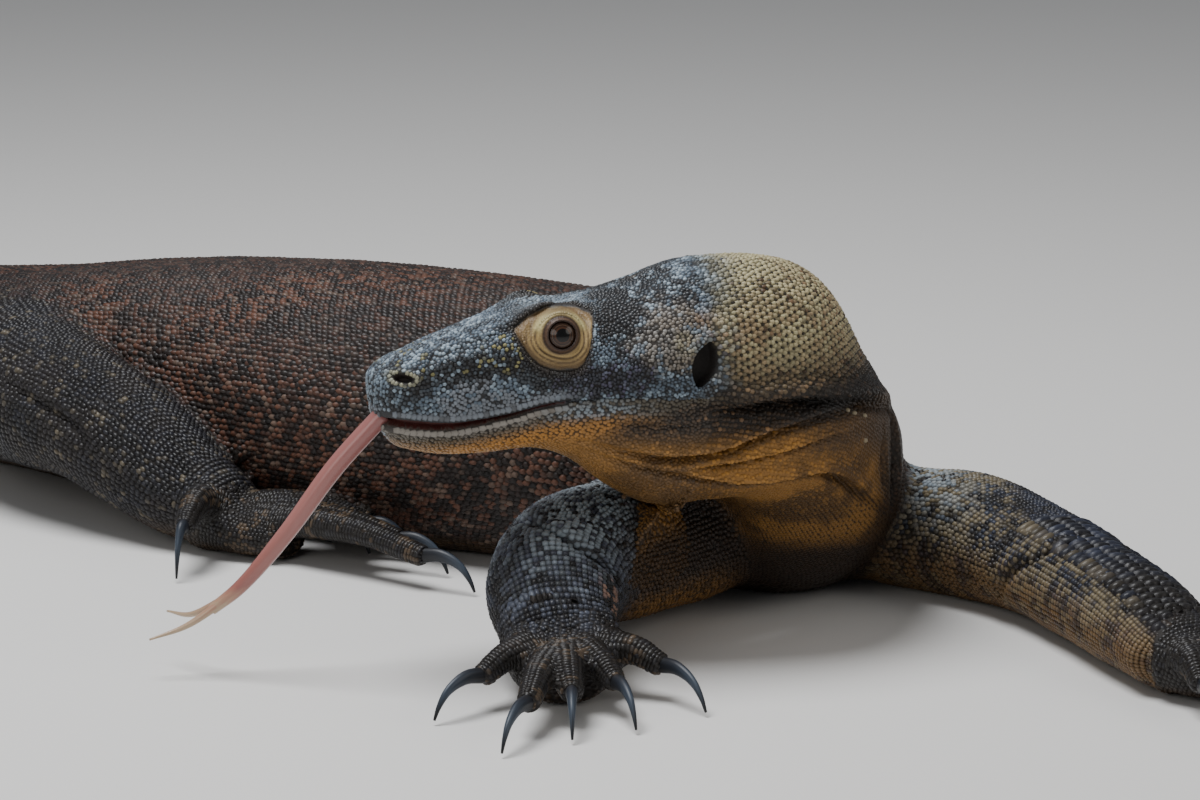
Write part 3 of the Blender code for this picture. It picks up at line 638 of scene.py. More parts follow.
def lipGap(reach):
    return readLine(mouth["gape"], np.clip(reach, 0, 0.14))


def sculptEyes(points):
    moved = points.copy()
    for sign in (-1, 1):
        near = np.linalg.norm(points - eyeFrame(sign)[0], axis=1) < 0.036
        near &= (headPlace(points)[1] * sign > 0.006)
        depth, ahead, above, axis = eyePlace(points[near], sign)
        rho = np.hypot(ahead, above)
        turn = np.arctan2(above, ahead)
        ball = eye["radius"] + eye["lidThickness"]
        shell = np.sqrt(np.maximum(ball**2 - rho**2, 0)) - 0.01 * (rho > ball)
        upper = ease(-0.1, 0.6, np.sin(turn))
        lower = ease(0.1, 0.7, -np.sin(turn))
        lidRoll = 0.0021 * upper * bell((rho - 0.0112) / 0.0017)
        lidRoll -= 0.0018 * upper * bell((rho - 0.0142) / 0.0013)
        lidRoll += 0.0007 * bell((rho - 0.0076) / 0.0007)
        lidRoll -= 0.0005 * bell((rho - 0.009) / 0.0007)
        wave = rho + 0.0006 * np.sin(3 * turn + sign)
        wrinkle = 0.00042 * np.cos(wave / 0.0021 * 2 * math.pi) * ease(0.0095, 0.0115, rho)
        wrinkle *= (1 - ease(0.0175, 0.0215, rho)) * (0.35 + 0.65 * lower)
        blend = 0.003
        share = np.clip(0.5 + 0.5 * (shell - depth) / blend, 0, 1)
        target = depth * (1 - share) + shell * share + blend * share * (1 - share)
        edge = lidShare(ahead, above)
        furrow = -0.0013 * bell(edge / 0.0016) * ease(0.01, 0.014, rho) * (rho < 0.024)
        target = target + lidRoll + wrinkle + furrow
        sink = 1 - ease(eye["opening"] - 0.0003, eye["opening"] + 0.0002, rho)
        target = target * (1 - sink) + 0.003 * sink
        fade = 1 - ease(0.026, 0.034, rho)
        fade *= ease(-0.012, -0.004, depth)
        moved[near] += ((target - depth) * fade)[:, None] * axis
    return moved


def ovalPlace(points, place):  # along, across and aside of a tilted mark on the head's side
    reach, lateral, height = headPlace(points)
    ahead, above = -(reach - place["reach"]), height - place["height"]
    c, s = math.cos(place["tilt"]), math.sin(place["tilt"])
    return ahead * c + above * s, above * c - ahead * s, lateral


def nostrilShare(points, spare=0.0):  # 0 in the middle of a nostril, 1 on its rim
    along, across, _ = ovalPlace(points, nostril)
    return np.hypot(along / (nostril["halfLength"] + spare), across / (nostril["halfHeight"] + spare))


def earPlace(points):  # across and along an ear's opening, and the share of its width
    across, along, _ = ovalPlace(points, ear)
    leaf = np.maximum(1 - (along / ear["halfLength"]) ** 2, 0.02) * ear["halfWidth"]
    return across, along, np.abs(across) / leaf


def aboutHead(points):  # the head and the near neck, and nothing of the trunk behind them
    reach, lateral, height = headPlace(points)
    return (reach > -0.035) & (reach < 0.19) & (np.abs(lateral) < 0.062) & (height > 0.055)


def sculptHead(points, normals):
    push = np.zeros(len(points))
    reach, lateral, height = headPlace(points)
    side = np.abs(lateral)
    onHead = aboutHead(points)
    # lips and the line between them
    level, gape = lipLevel(reach, height), lipGap(reach)
    depth = readLine(mouth["depth"], np.clip(reach, 0, 0.14))
    onSide = ease(0.004, 0.01, side) * (reach > 0.02) + 1.0 * (reach <= 0.02)
    inside = 1 - ease(0.75, 1.25, np.abs(level) / gape)
    lips = -depth * inside
    lips += 0.0007 * bell((level - gape - 0.002) / 0.0016) * (1 - ease(0.1, 0.13, reach))
    lips += 0.0011 * bell((level + gape + 0.0018) / 0.0017) * (1 - ease(0.07, 0.13, reach))
    push += lips * onSide * onHead * (reach < 0.145)
    # nostrils
    q = nostrilShare(points)
    pit = -nostril["depth"] * (1 - ease(0.7, 1.15, q)) + 0.0006 * bell((q - 1.5) / 0.32)
    push += pit * onHead * (side > 0.004)
    # ears
    across, along, q = earPlace(points)
    q = q + 4 * np.maximum(np.abs(along) / ear["halfLength"] - 0.97, 0)
    hole = -ear["depth"] * (1 - ease(0.55, 1.1, q)) * (np.abs(along) < ear["halfLength"] * 1.05)
    rim = 0.0011 * bell((np.hypot(along / 1.35, across * 1.1) - 0.0098) / 0.0022)
    push += (hole + rim) * onHead * (side > 0.02) * (reach < 0.18)
    # the brow's bump, a hollow crown, hollow cheeks before the eye and a pit behind it
    bump = 0.0012 * bell((reach - 0.086) / 0.016, (side - 0.012) / 0.01) * (normals[:, 2] > 0)
    crown = -0.0018 * bell((reach - 0.085) / 0.022, side / 0.009) * (normals[:, 2] > 0)
    hollow = -0.0024 * bell((reach - 0.046) / 0.02, (height - 0.15) / 0.0065)
    temple = -0.0016 * bell((reach - 0.119) / 0.01, (height - 0.166) / 0.009)
    push += (bump + crown + (hollow + temple) * (side > 0.006)) * onHead
    return push


def foldLines():
    lines = []
    for fold in folds.values():
        lines.append((np.array(fold["line"]), fold))
    for sign in (-1, 1):
        table = [snoutTip - headAxis * reach + headAcross * sign * side for reach, side, _ in browEdge]
        table = np.array([(p[0], p[1], row[2]) for p, row in zip(table, browEdge)])
        lines.append((table, dict(groove=0.0007, ridge=0.0009, width=0.0034, over=(0, 0, 1))))
    return lines


def foldPlaces(points, normals):  # each fold's points, with how far they lie on its ridge's side
    for table, fold in foldLines():
        dense = smoothPath(table, table, np.linspace(0, len(table) - 1, 160))
        reachOut = fold["width"] * 4
        low, high = dense.min(axis=0) - reachOut, dense.max(axis=0) + reachOut
        near = np.all((points > low) & (points < high), axis=1)
        index = np.flatnonzero(near)
        if not len(index):
            continue
        p, n = points[index], normals[index]
        distance = np.linalg.norm(p[:, None] - dense[None], axis=2)
        k = distance.argmin(axis=1)
        sideways = unit(np.cross(n, unit(np.gradient(dense, axis=0)[k])))
        sideways *= np.sign(sideways @ np.array(fold["over"], float))[:, None]
        s = np.einsum("ij,ij->i", p - dense[k], sideways)
        off = distance[np.arange(len(k)), k]
        fade = np.sin(math.pi * np.clip(k / 159.0, 0.02, 0.98)) ** 0.6
        fade *= 1 - ease(fold["width"] * 2.5, fold["width"] * 4, off)
        yield index, s / fold["width"], fade, fold


def sculptFolds(points, normals):
    push = np.zeros(len(points))
    for index, s, fade, fold in foldPlaces(points, normals):
        shape = fold["ridge"] * bell((s - 1.35) / 0.95) - fold["groove"] * bell(s / 0.75)
        push[index] += shape * fade
    return push


def foldShade(points, normals):  # how far a place lies in a deep groove, and how far on a high ridge
    shade = np.zeros((2, len(points)))
    for index, s, fade, fold in foldPlaces(points, normals):
        deep = min(1.0, fold["groove"] / 0.007) * bell((s + 0.1) / 0.62) * fade
        high = min(1.0, fold["ridge"] / 0.005) * bell((s - 1.3) / 0.7) * fade
        shade[:, index] = np.maximum(shade[:, index], (deep, high))
    return shade


def sculptBody(points):  # loose skin: pleats in the neck's bend, lumps, slack flanks
    push = skin["lumps"] * (cloud(points, 0.035, 3) * 2 - 1)
    push = push + 0.5 * skin["lumps"] * (cloud(points, 0.016, 4) * 2 - 1)
    inner = bell((points[:, 0] - 0.15) / 0.03, (points[:, 1] + 0.215) / 0.035)
    push += 0.0016 * inner * np.cos(points[:, 1] / 0.011 * 2 * math.pi) * ease(0.05, 0.09, points[:, 2])
    return push


def sculpt(points, normals):
    push = sculptHead(points, normals) + sculptFolds(points, normals) + sculptBody(points)
    raised = np.array(points) + push[:, None] * normals
    raised = sculptEyes(raised)
    raised[:, 2] = np.maximum(raised[:, 2], 0.0004)
    return raised


def joinedParts():
    points, faces, start = [], [], 0
    for shape in parts.values():
        points.append(shape["points"])
        faces += [tuple(start + i for i in face) for face in shape["faces"]]
        start += len(shape["points"])
    return makeMesh("fleshParts", np.vstack(points), faces)


def refine(mesh, wanted):  # halves the edges whose ends are both wanted
    bm = bmesh.new()
    bm.from_mesh(mesh)
    keep = wanted(np.array([v.co for v in bm.verts], float))
    bm.verts.index_update()
    edges = [e for e in bm.edges if keep[e.verts[0].index] and keep[e.verts[1].index]]
    bmesh.ops.subdivide_edges(bm, edges=edges, cuts=1, use_grid_fill=True)
    bm.to_mesh(mesh)
    bm.free()
    return mesh


def nearEye(points, reachOut):
    near = np.zeros(len(points), bool)
    for sign in (-1, 1):
        depth, ahead, above, _ = eyePlace(points, sign)
        near |= (np.hypot(ahead, above) < reachOut) & (depth > -0.006) & (depth < 0.02)
    return near


def headRegion(points):  # the head and, as far as it is folded, the neck
    x, y, z = points.T
    neckSide = (x > 0.14) & (y < -0.17) & (z > 0.045)
    return aboutHead(points) | neckSide


# How near the lips, nostrils, ears and eyes the skin is made finer, each row finer again.
faceSteps = [
    dict(lips=0.0065, lipsEnd=0.142, nose=0.009, ears=0.017, eyes=0.024),
    dict(lips=0.003, lipsEnd=0.085, nose=0.006, ears=0.0, eyes=0.0125),
]


def faceRegion(points, lips, lipsEnd, nose, ears, eyes):
    reach, lateral, height = headPlace(points)
    near = (np.abs(lipLevel(reach, height)) < lips) & (reach < lipsEnd)
    near |= np.hypot(reach - nostril["reach"], height - nostril["height"]) < nose
    near |= np.hypot(reach - ear["reach"], height - ear["height"]) < ears
    near |= nearEye(points, eyes)
    return near & aboutHead(points) & ((np.abs(lateral) > 0.006) | (reach < 0.02))


def buildSkin():
    obj = makeObject("skin", joinedParts())
    remesh = obj.modifiers.new("Remesh", "REMESH")
    remesh.mode = "VOXEL"
    remesh.voxel_size = skin["voxel"]
    remesh.use_smooth_shade = True
    mesh = plainMesh(obj)
    obj.modifiers.clear()
    print("remeshed:", len(mesh.polygons))
    mesh = refine(mesh, headRegion)
    for reaches in faceSteps:
        mesh = refine(mesh, lambda points: faceRegion(points, **reaches))
    points = meshPoints(mesh)
    for turn in range(skin["fitPasses"]):
        value, normal = bodyField(points)
        points -= ((value + skin["coatDepth"]) * (np.abs(value) < skin["fitReach"]))[:, None] * normal
        print("fitted, pass", turn + 1, len(points))
    setPoints(mesh, points)
    setPoints(mesh, sculpt(points, readVectors(mesh.vertex_normals, "vector")))
    obj.data = mesh
    thin = obj.modifiers.new("Thin", "DECIMATE")
    count = sum(len(p.vertices) - 2 for p in mesh.polygons)
    thin.ratio = min(1.0, skin["triangles"] / count)
    mesh = plainMesh(obj)
    obj.modifiers.clear()
    obj.data = mesh
    mesh.shade_smooth()
    print("skin triangles:", sum(len(p.vertices) - 2 for p in mesh.polygons))
    return obj


skinObject = buildSkin()
skinPoints = meshPoints(skinObject.data)
skinNormals = readVectors(skinObject.data.vertex_normals, "vector")
skinFaces = [tuple(p.vertices) for p in skinObject.data.polygons]
skinTree = BVHTree.FromPolygons([tuple(p) for p in skinPoints], skinFaces)

tones = dict(  # display values from 0 to 255
    slate=(84, 98, 112), slatePale=(150, 168, 182), slateDark=(20, 22, 28), blueBlack=(20, 22, 36),
    dusk=(66, 62, 86), temple=(124, 114, 102), olive=(150, 142, 88), lid=(168, 142, 92),
    lidPale=(200, 190, 136), lidInner=(52, 34, 24), lidSurround=(34, 26, 20), lidFront=(114, 90, 56),
    lidRing=(110, 82, 60), earTan=(160, 122, 96), knob=(160, 148, 122), lipPale=(118, 124, 132),
    lipDark=(54, 52, 52), lowerLip=(146, 140, 132), jaw=(84, 74, 56), jawOrange=(184, 126, 48),
    napeCream=(186, 177, 138), napeDark=(20, 16, 13), neckBrown=(62, 46, 30), neckTan=(130, 100, 72),
    # chest is a dark brown of painted shade, for the low chest and the right foreleg's inner side.
    throat=(146, 104, 46), throatDark=(78, 54, 24), throatOrange=(190, 134, 54), chest=(44, 29, 15),
    rust=(96, 64, 50), umber=(34, 27, 25), umberDark=(14, 12, 12), grizzle=(106, 88, 76),
    backGrey=(44, 40, 39), charcoal=(14, 13, 17), blueGrey=(31, 32, 41), bone=(100, 91, 75),
    sole=(72, 54, 34), armSlate=(82, 88, 104), armBlue=(44, 50, 68), armPale=(150, 162, 170),
    armCream=(124, 112, 86), armOchre=(108, 78, 40), hand=(22, 18, 16), dust=(98, 80, 60),
    # pit is a near-black painted shade for the nostrils' holes, the ear holes and the folds' grooves.
    peel=(150, 114, 94), gum=(84, 36, 30), pit=(14, 10, 8), nostrilBrown=(74, 44, 30),
    nostrilRim=(168, 166, 140), tailDark=(36, 31, 30), belly=(90, 72, 50),
)


def toLinear(tone):
    share = np.array(tone, float) / 255
    return np.where(share <= 0.04045, share / 12.92, ((share + 0.055) / 1.055) ** 2.4)


linear = {name: toLinear(tone) for name, tone in tones.items()}


def mixed(under, over, share):
    share = share[:, None]
    return under * (1 - share) + over * share


def painter(colour):  # what lays tones over these colours, each by a share from 0 to 1
    def lay(name, share):
        colour[:] = mixed(colour, linear[name], np.clip(share, 0, 1))

    return lay


def spineLookup(points):  # distance to the spine's tube, the station there, and whether it is near
    value, _, face = signedDistance(points, "spine", 0.04)
    rows, sides = parts["spine"]["grid"].shape[:2]
    row = np.clip(face // sides, 0, rows - 2)
    t = parts["spine"]["t"][row]
    return value, t, face >= 0


def headColour(points, normals, chance):
    dieA, dieB, dieC = chance.T
    reach, lateral, height = headPlace(points)
    side = np.abs(lateral)
    fine = cloud(points, 0.0045, 11)
    broad = cloud(points, 0.01, 12)
    top = ease(0.2, 0.75, normals[:, 2])
    ragged = 0.55 * (fine - 0.5) + 0.55 * (broad - 0.5) + 0.3 * (dieC - 0.5)

    def patch(centre, half, weight=1.0):  # a ragged patch about a reach and a height
        away = np.hypot((reach - centre[0]) / half[0], (height - centre[1]) / half[1])
        return weight * ease(-0.1, 0.25, 1 - away + 1.3 * ragged)

    colour = np.tile(linear["slate"], (len(points), 1))
    lay = painter(colour)
    # Dark and pale scales make the head's mottle; the pale ones, laid more on upward faces and the dark ones
    # less there, are partly painted highlight.
    dark = ease(0.47, 0.54, 0.4 * fine + 0.34 * broad + 0.26 * dieA)
    lay("slateDark", (0.92 - 0.15 * top) * dark)
    pale = ease(0.48, 0.7, 0.45 * cloud(points, 0.006, 13) + 0.55 * dieB)
    lay("slatePale", (0.6 + 0.38 * top) * pale * (1 - 0.8 * dark))
    lay("armPale", 0.55 * ease(0.8, 0.9, dieB) * (0.4 + 0.6 * top) * (1 - dark))
    # the snout's dark side with olive flecks, the pale strip over the lip
    lay("slateDark", patch((0.04, 0.153), (0.034, 0.0105), 0.9) * (1 - top) * (dieB < 0.8))
    lay("olive", patch((0.064, 0.159), (0.014, 0.0085), 0.75) * (dieA > 0.7))
    lay("olive", patch((0.034, 0.155), (0.022, 0.0065), 0.55) * (dieA > 0.86))
    lay("lipPale", patch((0.054, 0.137), (0.026, 0.008), 0.85) * (dieC > 0.18))
    tip = bell((reach + 0.004) / 0.012) * (1 - top)
    lay("slatePale", 0.55 * tip * (dieB > 0.35))
    # temple, blue-black cheek, the dark patches round the eye and on the crown
    lay("temple", patch((0.138, 0.166), (0.017, 0.017), 0.8))
    lay("slateDark", 0.75 * patch((0.138, 0.166), (0.017, 0.017)) * (dieA > 0.74))
    cheek = patch((0.106, 0.148), (0.023, 0.0105))
    lay("blueBlack", 0.95 * cheek * (dieB < 0.8))
    # Purple-blue scales among the blue-black ones on the cheek are painted highlight.
    lay("dusk", 0.75 * cheek * (dieB > 0.62))
    lay("slateDark", patch((0.074, 0.15), (0.01, 0.0095), 0.9) * (dieA < 0.85))
    lay("slateDark", patch((0.119, 0.177), (0.0135, 0.0115), 0.95) * (dieA < 0.9))
    lay("slateDark", patch((0.139, 0.187), (0.022, 0.008), 0.75) * (dieB < 0.75))
    browPale = bell((reach - 0.082) / 0.018, (height - 0.182) / 0.004)
    lay("armPale", 0.8 * browPale * (dieA > 0.2))
    # lips
    level = lipLevel(reach, height)
    above = ease(0.0005, 0.002, level) * (1 - ease(0.0045, 0.008, level)) * (1 - ease(0.08, 0.105, reach))
    lay("lipPale", 0.85 * above)
    lay("lipDark", 0.6 * above * (dieB > 0.8))
    below = ease(0.0, 0.0012, -level) * (side > 0.003)
    lay("jaw", 0.9 * below)
    lowerLip = bell((level + 0.0034) / 0.002) * (1 - ease(0.075, 0.11, reach))
    lay("lowerLip", 0.9 * lowerLip)
    corner = bell((reach - 0.103) / 0.022, (level + 0.0065) / 0.005) * (level < 0)
    lay("slatePale", 0.7 * corner * (dieA > 0.35))
    lay("slateDark", 0.7 * corner * (dieA < 0.3))
    # jaw's underside and throat
    under = ease(0.0065, 0.015, -level)
    lay("throat", under)
    stripe = bell((level + 0.015) / 0.005) * ease(0.02, 0.05, reach) * (1 - ease(0.11, 0.14, reach))
    lay("jawOrange", 0.8 * stripe * (0.5 + 0.5 * (dieB > 0.25)))
    lay("throatDark", 0.75 * under * ease(0.085, 0.12, reach) * ease(0.3, 0.7, broad))
    # eyelids
    for sign in (-1, 1):
        _, ahead, over, _ = eyePlace(points, sign)
        near = (lateral * sign > 0.01) * aboutHead(points)
        rho = np.hypot(ahead, over)
        edge = lidShare(ahead, over) + 0.001 * (cloud(points, 0.003, 14) - 0.5)
        # A dark ring round the lids: their dark outline, with painted shade in the furrow at the lids' edge.
        around = bell((edge + 0.0018) / 0.0034) * near * (rho < 0.03)
        lay("lidSurround", 0.95 * around)
        inLids = ease(-0.0004, 0.001, edge) * near * (rho < 0.026)
        lay("lid", inLids)
        upper = ease(0.0, 0.005, over)
        lay("lidPale", 0.9 * inLids * upper * bell((rho - 0.0114) / 0.0019))
        # Painted shadow in the crease above the upper lid's roll.
        lay("lidInner", 0.75 * inLids * upper * bell((rho - 0.0142) / 0.0008))
        turn = np.arctan2(over, ahead)
        # Painted shade in the valleys of the lids' sculpted wrinkles.
        crease = (0.5 - 0.5 * np.cos((rho + 0.0006 * np.sin(3 * turn + sign)) / 0.0021 * 2 * math.pi)) ** 2
        lay("lidInner", 0.88 * inLids * crease * (1 - 0.75 * upper) * ease(0.0095, 0.011, rho))
        lay("lidFront", 0.75 * ease(0.011, 0.02, ahead) * inLids)
        lay("lidFront", 0.85 * ease(0.0058, 0.001, edge) * inLids)
        # Darker just inside the lids' edge, along the sculpted furrow: dark outline and painted shade.
        lay("lidInner", 0.6 * ease(0.0016, 0.0002, edge) * inLids)
        lay("lidInner", near * (1 - ease(0.0088, 0.0101, rho)))
        lay("lidRing", 0.5 * near * bell((rho - 0.0079) / 0.0004))
    # nostril
    q = nostrilShare(points)
    lay("nostrilRim", bell((q - 1.45) / 0.3) * 0.7)
    lay("nostrilBrown", 1 - ease(0.8, 1.1, q))
    # Near-black painted shade in the nostril's hole.
    lay("pit", 1 - ease(0.1, 0.5, q))
    return colour


earFlap = (0.148, -0.3217, 0.1735)  # a tan fold of skin over the ear
knobPlace = (0.23, -0.263, 0.104)  # pale knobs on the neck's side


def spineColour(points, normals, chance, t):
    dieA, dieB, dieC = chance.T
    reach, _, height = headPlace(points)
    n = len(points)
    top = ease(0.1, 0.8, normals[:, 2])
    low = ease(0.035, 0.012, points[:, 2])
    fine = cloud(points, 0.007, 21)
    broad = cloud(points, 0.022, 22)
    wide = cloud(points, 0.06, 23)
    # trunk: clusters of rust and umber beads with odd pale ones, greyer on the back
    colour = np.tile(linear["umber"], (n, 1))
    lay = painter(colour)
    rusty = ease(0.4, 0.66, 0.32 * fine + 0.18 * broad + 0.5 * dieA)
    lay("rust", 0.95 * rusty * (1 - 0.45 * low))
    lay("umberDark", 0.75 * ease(0.6, 0.78, 0.55 * cloud(points, 0.009, 25) + 0.45 * dieB))
    lay("grizzle", 0.85 * ease(0.7, 0.86, 0.3 * fine + 0.7 * dieC))
    lay("backGrey", 0.6 * top * ease(0.3, 0.7, wide + 0.2 * dieC))
    rear = ease(8.1, 6.9, t)
    lay("charcoal", 0.55 * rear * (1 - top * 0.4))
    lay("belly", 0.55 * ease(0.016, 0.006, points[:, 2]) * (t > 5))
    # tail: dark, with vague paler bands
    tail = ease(7.2, 6.2, t)
    lay("tailDark", 0.75 * tail)
    wave = np.cos(t * 2 * math.pi * 1.9 + 2.4 * (broad - 0.5) + 1.5 * (wide - 0.5))
    bands = ease(0.45, 0.95, 0.5 + 0.5 * wave) * tail
    lay("grizzle", 0.38 * bands * (0.3 + 0.7 * (dieA > 0.5)))
    # neck: cream beads over dark skin above, brown below, ochre throat
    neck = ease(11.3, 12.4, t + 0.9 * (broad - 0.5))
    lay("neckBrown", 0.95 * neck)
    lay("neckTan", 0.75 * neck * ease(0.45, 0.8, 0.4 * fine + 0.6 * dieB))
    nape = neck * ease(0.128, 0.172, height) * ease(11.9, 13.4, t + 1.4 * (broad - 0.5) + 0.5 * (dieC - 0.5))
    lay("napeCream", 0.95 * nape * ease(0.12, 0.42, 0.5 * fine + 0.5 * dieA))
    tan = ease(0.38, 0.72, 0.6 * cloud(points, 0.018, 27) + 0.4 * dieC)
    browning = np.maximum(ease(0.196, 0.16, height), 0.8 * ease(0.165, 0.225, points[:, 0]))
    lay("neckTan", 0.8 * nape * tan * browning)
    # Painted shade under the neck's shelf fold: a dark band low on the nape, umber-dark farther back.
    lay("napeDark", 0.7 * neck * ease(0.147, 0.132, height) * (height > 0.112) * (dieA > 0.3))
    lay("umberDark", 0.85 * neck * ease(0.18, 0.21, points[:, 0]) * ease(0.14, 0.13, height))
    shoulder = bell((t - 11.6) / 0.6) * top
    lay("grizzle", 0.5 * shoulder * (dieA > 0.4))
    throat = ease(12.4, 13.2, t) * ease(0.122, 0.104, height)
    lay("throat", 0.95 * throat)
    lay("throatOrange", 0.6 * throat * ease(0.45, 0.75, 0.6 * broad + 0.4 * dieB))
    lay("throatDark", 0.65 * throat * ease(0.52, 0.32, 0.6 * broad + 0.4 * dieA))
    shade = ease(0.108, 0.09, height) * ease(0.06, 0.085, height) * throat
    lay("throatDark", 0.35 * shade)
    collar = ease(0.185, 0.215, points[:, 0]) * ease(0.094, 0.104, height + 0.008 * (fine - 0.5)) * throat
    lay("neckBrown", 0.7 * collar)
    # Painted shade in the neck's bend by the shoulder pleat.
    bend = ease(0.222, 0.24, points[:, 0]) * ease(11.8, 12.6, t)
    lay("neckBrown", 0.75 * bend * ease(0.125, 0.115, height) * ease(0.084, 0.096, height))
    pouch = ease(0.16, 0.185, points[:, 0]) * ease(0.25, 0.232, points[:, 0]) * ease(11.0, 11.8, t)
    pouch = pouch * ease(0.034, 0.05, height) * ease(0.1, 0.088, height) * ease(0.4, 0.0, normals[:, 1])
    blotch = ease(0.4, 0.6, 0.7 * broad + 0.3 * fine)
    # Painted shade darkens the low chest under the neck.
    chest = ease(10.8, 11.8, t) * ease(0.075, 0.05, height)
    lay("chest", 0.9 * chest)
    lay("throat", 0.85 * pouch * (0.35 + 0.65 * blotch))
    lay("throatDark", 0.75 * pouch * (1 - blotch) * (dieA < 0.8))
    lay("earTan", 0.8 * bell(np.linalg.norm(points - np.array(earFlap), axis=1) / 0.0085))
    # head
    shift = 0.036 * (cloud(points, 0.012, 24) - 0.5) + 0.034 * ease(0.137, 0.122, height)
    atHead = ease(0.176, 0.144, reach + shift + 0.01 * (dieC - 0.5)) * (t > firstHead - 2)
    crown = ease(0.19, 0.158, reach + 0.5 * (0.19 - height)) * (t > firstHead - 2)
    share = np.maximum(atHead, crown * ease(0.165, 0.18, height))
    colour[:] = mixed(colour, headColour(points, normals, chance), share)
    # Painted shade darkens the folds' grooves, and a painted highlight brightens their ridges.
    groove, ridge = foldShade(points, normals)
    lay("pit", 0.6 * groove)
    return colour * (1 + 0.45 * ridge * (height > 0.04))[:, None]


def limbColour(name, points, chance):
    dieA, dieB, dieC = chance.T
    n = len(points)
    fine = cloud(points, 0.006, 31)
    broad = cloud(points, 0.02, 32)
    x, y, z = points.T
    floorward = ease(0.02, 0.008, z)
    colour = np.tile(linear["charcoal"], (n, 1))
    lay = painter(colour)
    if name.startswith("hind"):
        lay("blueGrey", 0.75 * ease(0.35, 0.8, 0.4 * fine + 0.6 * dieA))
        lay("umber", 0.45 * ease(0.45, 0.7, broad))
        cell = spots(points, 0.014, 5)
        lay("bone", 0.8 * ease(0.27, 0.16, cell) * (dieB > 0.35))
        lay("bone", 0.35 * (dieC > 0.94))
        lay("sole", 0.5 * floorward)
        return colour
    if name == "foreRight":
        lay("armSlate", 0.85 * ease(0.2, 0.9, 0.55 * fine + 0.45 * dieA))
        # Paler scales high on the arm and on the elbow's top: the arm's own pale blue scales, with painted
        # highlight on its upper parts.
        bright = ease(0.05, 0.072, z) * ease(0.064, 0.086, x - 0.3 * (y + 0.29))
        pale = ease(0.4, 0.85, 0.5 * fine + 0.5 * dieB) * ease(0.034, 0.066, z)
        lay("armPale", np.maximum(0.5 * pale, 0.85 * bright * (dieB > 0.3)))
        # The arm's inner side, towards the chest, is darkened with painted shade.
        inner = ease(0.098, 0.128, x + 0.016 * (broad - 0.5) + 0.012 * (dieC - 0.5))
        inner = inner * ease(-0.318, -0.3, y + 0.5 * (x - 0.11))
        lay("chest", 0.92 * inner)
        ochre = inner * ease(0.036, 0.014, z) * ease(0.185, 0.145, x)
        lay("throat", 0.85 * ochre * (0.4 + 0.6 * (dieA > 0.3)))
        lay("hand", 0.85 * ease(0.04, 0.024, z) * ease(-0.29, -0.32, y))
        peeling = np.linalg.norm((points - (0.104, -0.336, 0.036)) / (0.007, 0.012, 0.016), axis=1)
        lay("peel", 0.75 * (1 - ease(0.6, 1.2, peeling)) * (0.5 * fine + 0.5 * dieA > 0.45))
        return colour
    along = np.interp(y, (-0.34, -0.27, -0.21, -0.16), (0.35, 0.327, 0.318, 0.33))  # the outer side's edge
    outer = ease(-0.004, 0.01, x - along + 0.9 * (z - 0.044) + 0.01 * (broad - 0.5))
    lay("armBlue", 0.85 * ease(0.25, 0.75, 0.6 * fine + 0.4 * dieA))
    creamy = (1 - outer) * ease(0.36, 0.62, 0.65 * (0.5 * fine + 0.5 * broad) + 0.35 * dieB)
    lay("armCream", 0.8 * creamy)
    topPatch = bell((x - 0.268) / 0.02, (z - 0.062) / 0.014)
    lay("armPale", 0.75 * topPatch * (dieA > 0.35))
    under = ease(0.04, 0.018, z) * (1 - outer)
    lay("armOchre", 0.8 * under * (0.4 + 0.6 * ease(0.3, 0.6, fine)))
    lay("hand", 0.8 * ease(-0.3, -0.335, y) * outer)
    return colour


def footColour(points, chance):
    fine = cloud(points, 0.005, 41)
    colour = np.tile(linear["hand"], (len(points), 1))
    lay = painter(colour)
    lay("blueGrey", 0.45 * ease(0.45, 0.85, 0.4 * fine + 0.6 * chance[:, 0]))
    lay("sole", 0.45 * ease(0.01, 0.004, points[:, 2]))
    dusty = ease(0.62, 0.74, 0.6 * cloud(points, 0.009, 42) + 0.4 * chance[:, 1])
    lay("dust", 0.55 * dusty)
    return colour


def napeDots(colour, points, mark):  # dark scales dot the cream nape
    lay = painter(colour)
    height = points[:, 2] + 0.006 * (cloud(points, 0.01, 26) - 0.5)
    reach = headPlace(points)[0]
    share = ease(0.128, 0.14, height) * ease(0.155, 0.175, reach)
    lay("napeDark", 0.92 * share * (mark == 1))
    lay("knob", 0.8 * (mark == 2))


def hideColour(points, normals, chance):  # the animal's markings anywhere on it
    value, t, _ = spineLookup(points)
    colour = spineColour(points, normals, chance, t)
    for name in limbs:
        limb, _, _ = signedDistance(points, name, 0.02)
        near = limb < 0.9
        if not near.any():
            continue
        share = np.zeros(len(points))
        mix = (value[near] - limb[near]) / 0.01 + 0.6 * (chance[near, 2] - 0.5)
        share[near] = ease(-0.6, 0.8, mix)
        tint = np.zeros_like(colour)
        tint[near] = limbColour(name, points[near], chance[near])
        colour = mixed(colour, tint, share)
        foot = np.full(len(points), 1.0)
        for part in parts:
            if part.startswith(name + "Palm") or part.startswith(name + "Digit"):
                foot = np.minimum(foot, signedDistance(points, part, 0.012)[0])
        near = foot < 0.9
        share = np.zeros(len(points))
        share[near] = ease(-0.4, 0.8, (np.minimum(limb, value)[near] - foot[near]) / 0.006)
        tint = np.zeros_like(colour)
        tint[near] = footColour(points[near], chance[near])
        colour = mixed(colour, tint, share)
    return colour


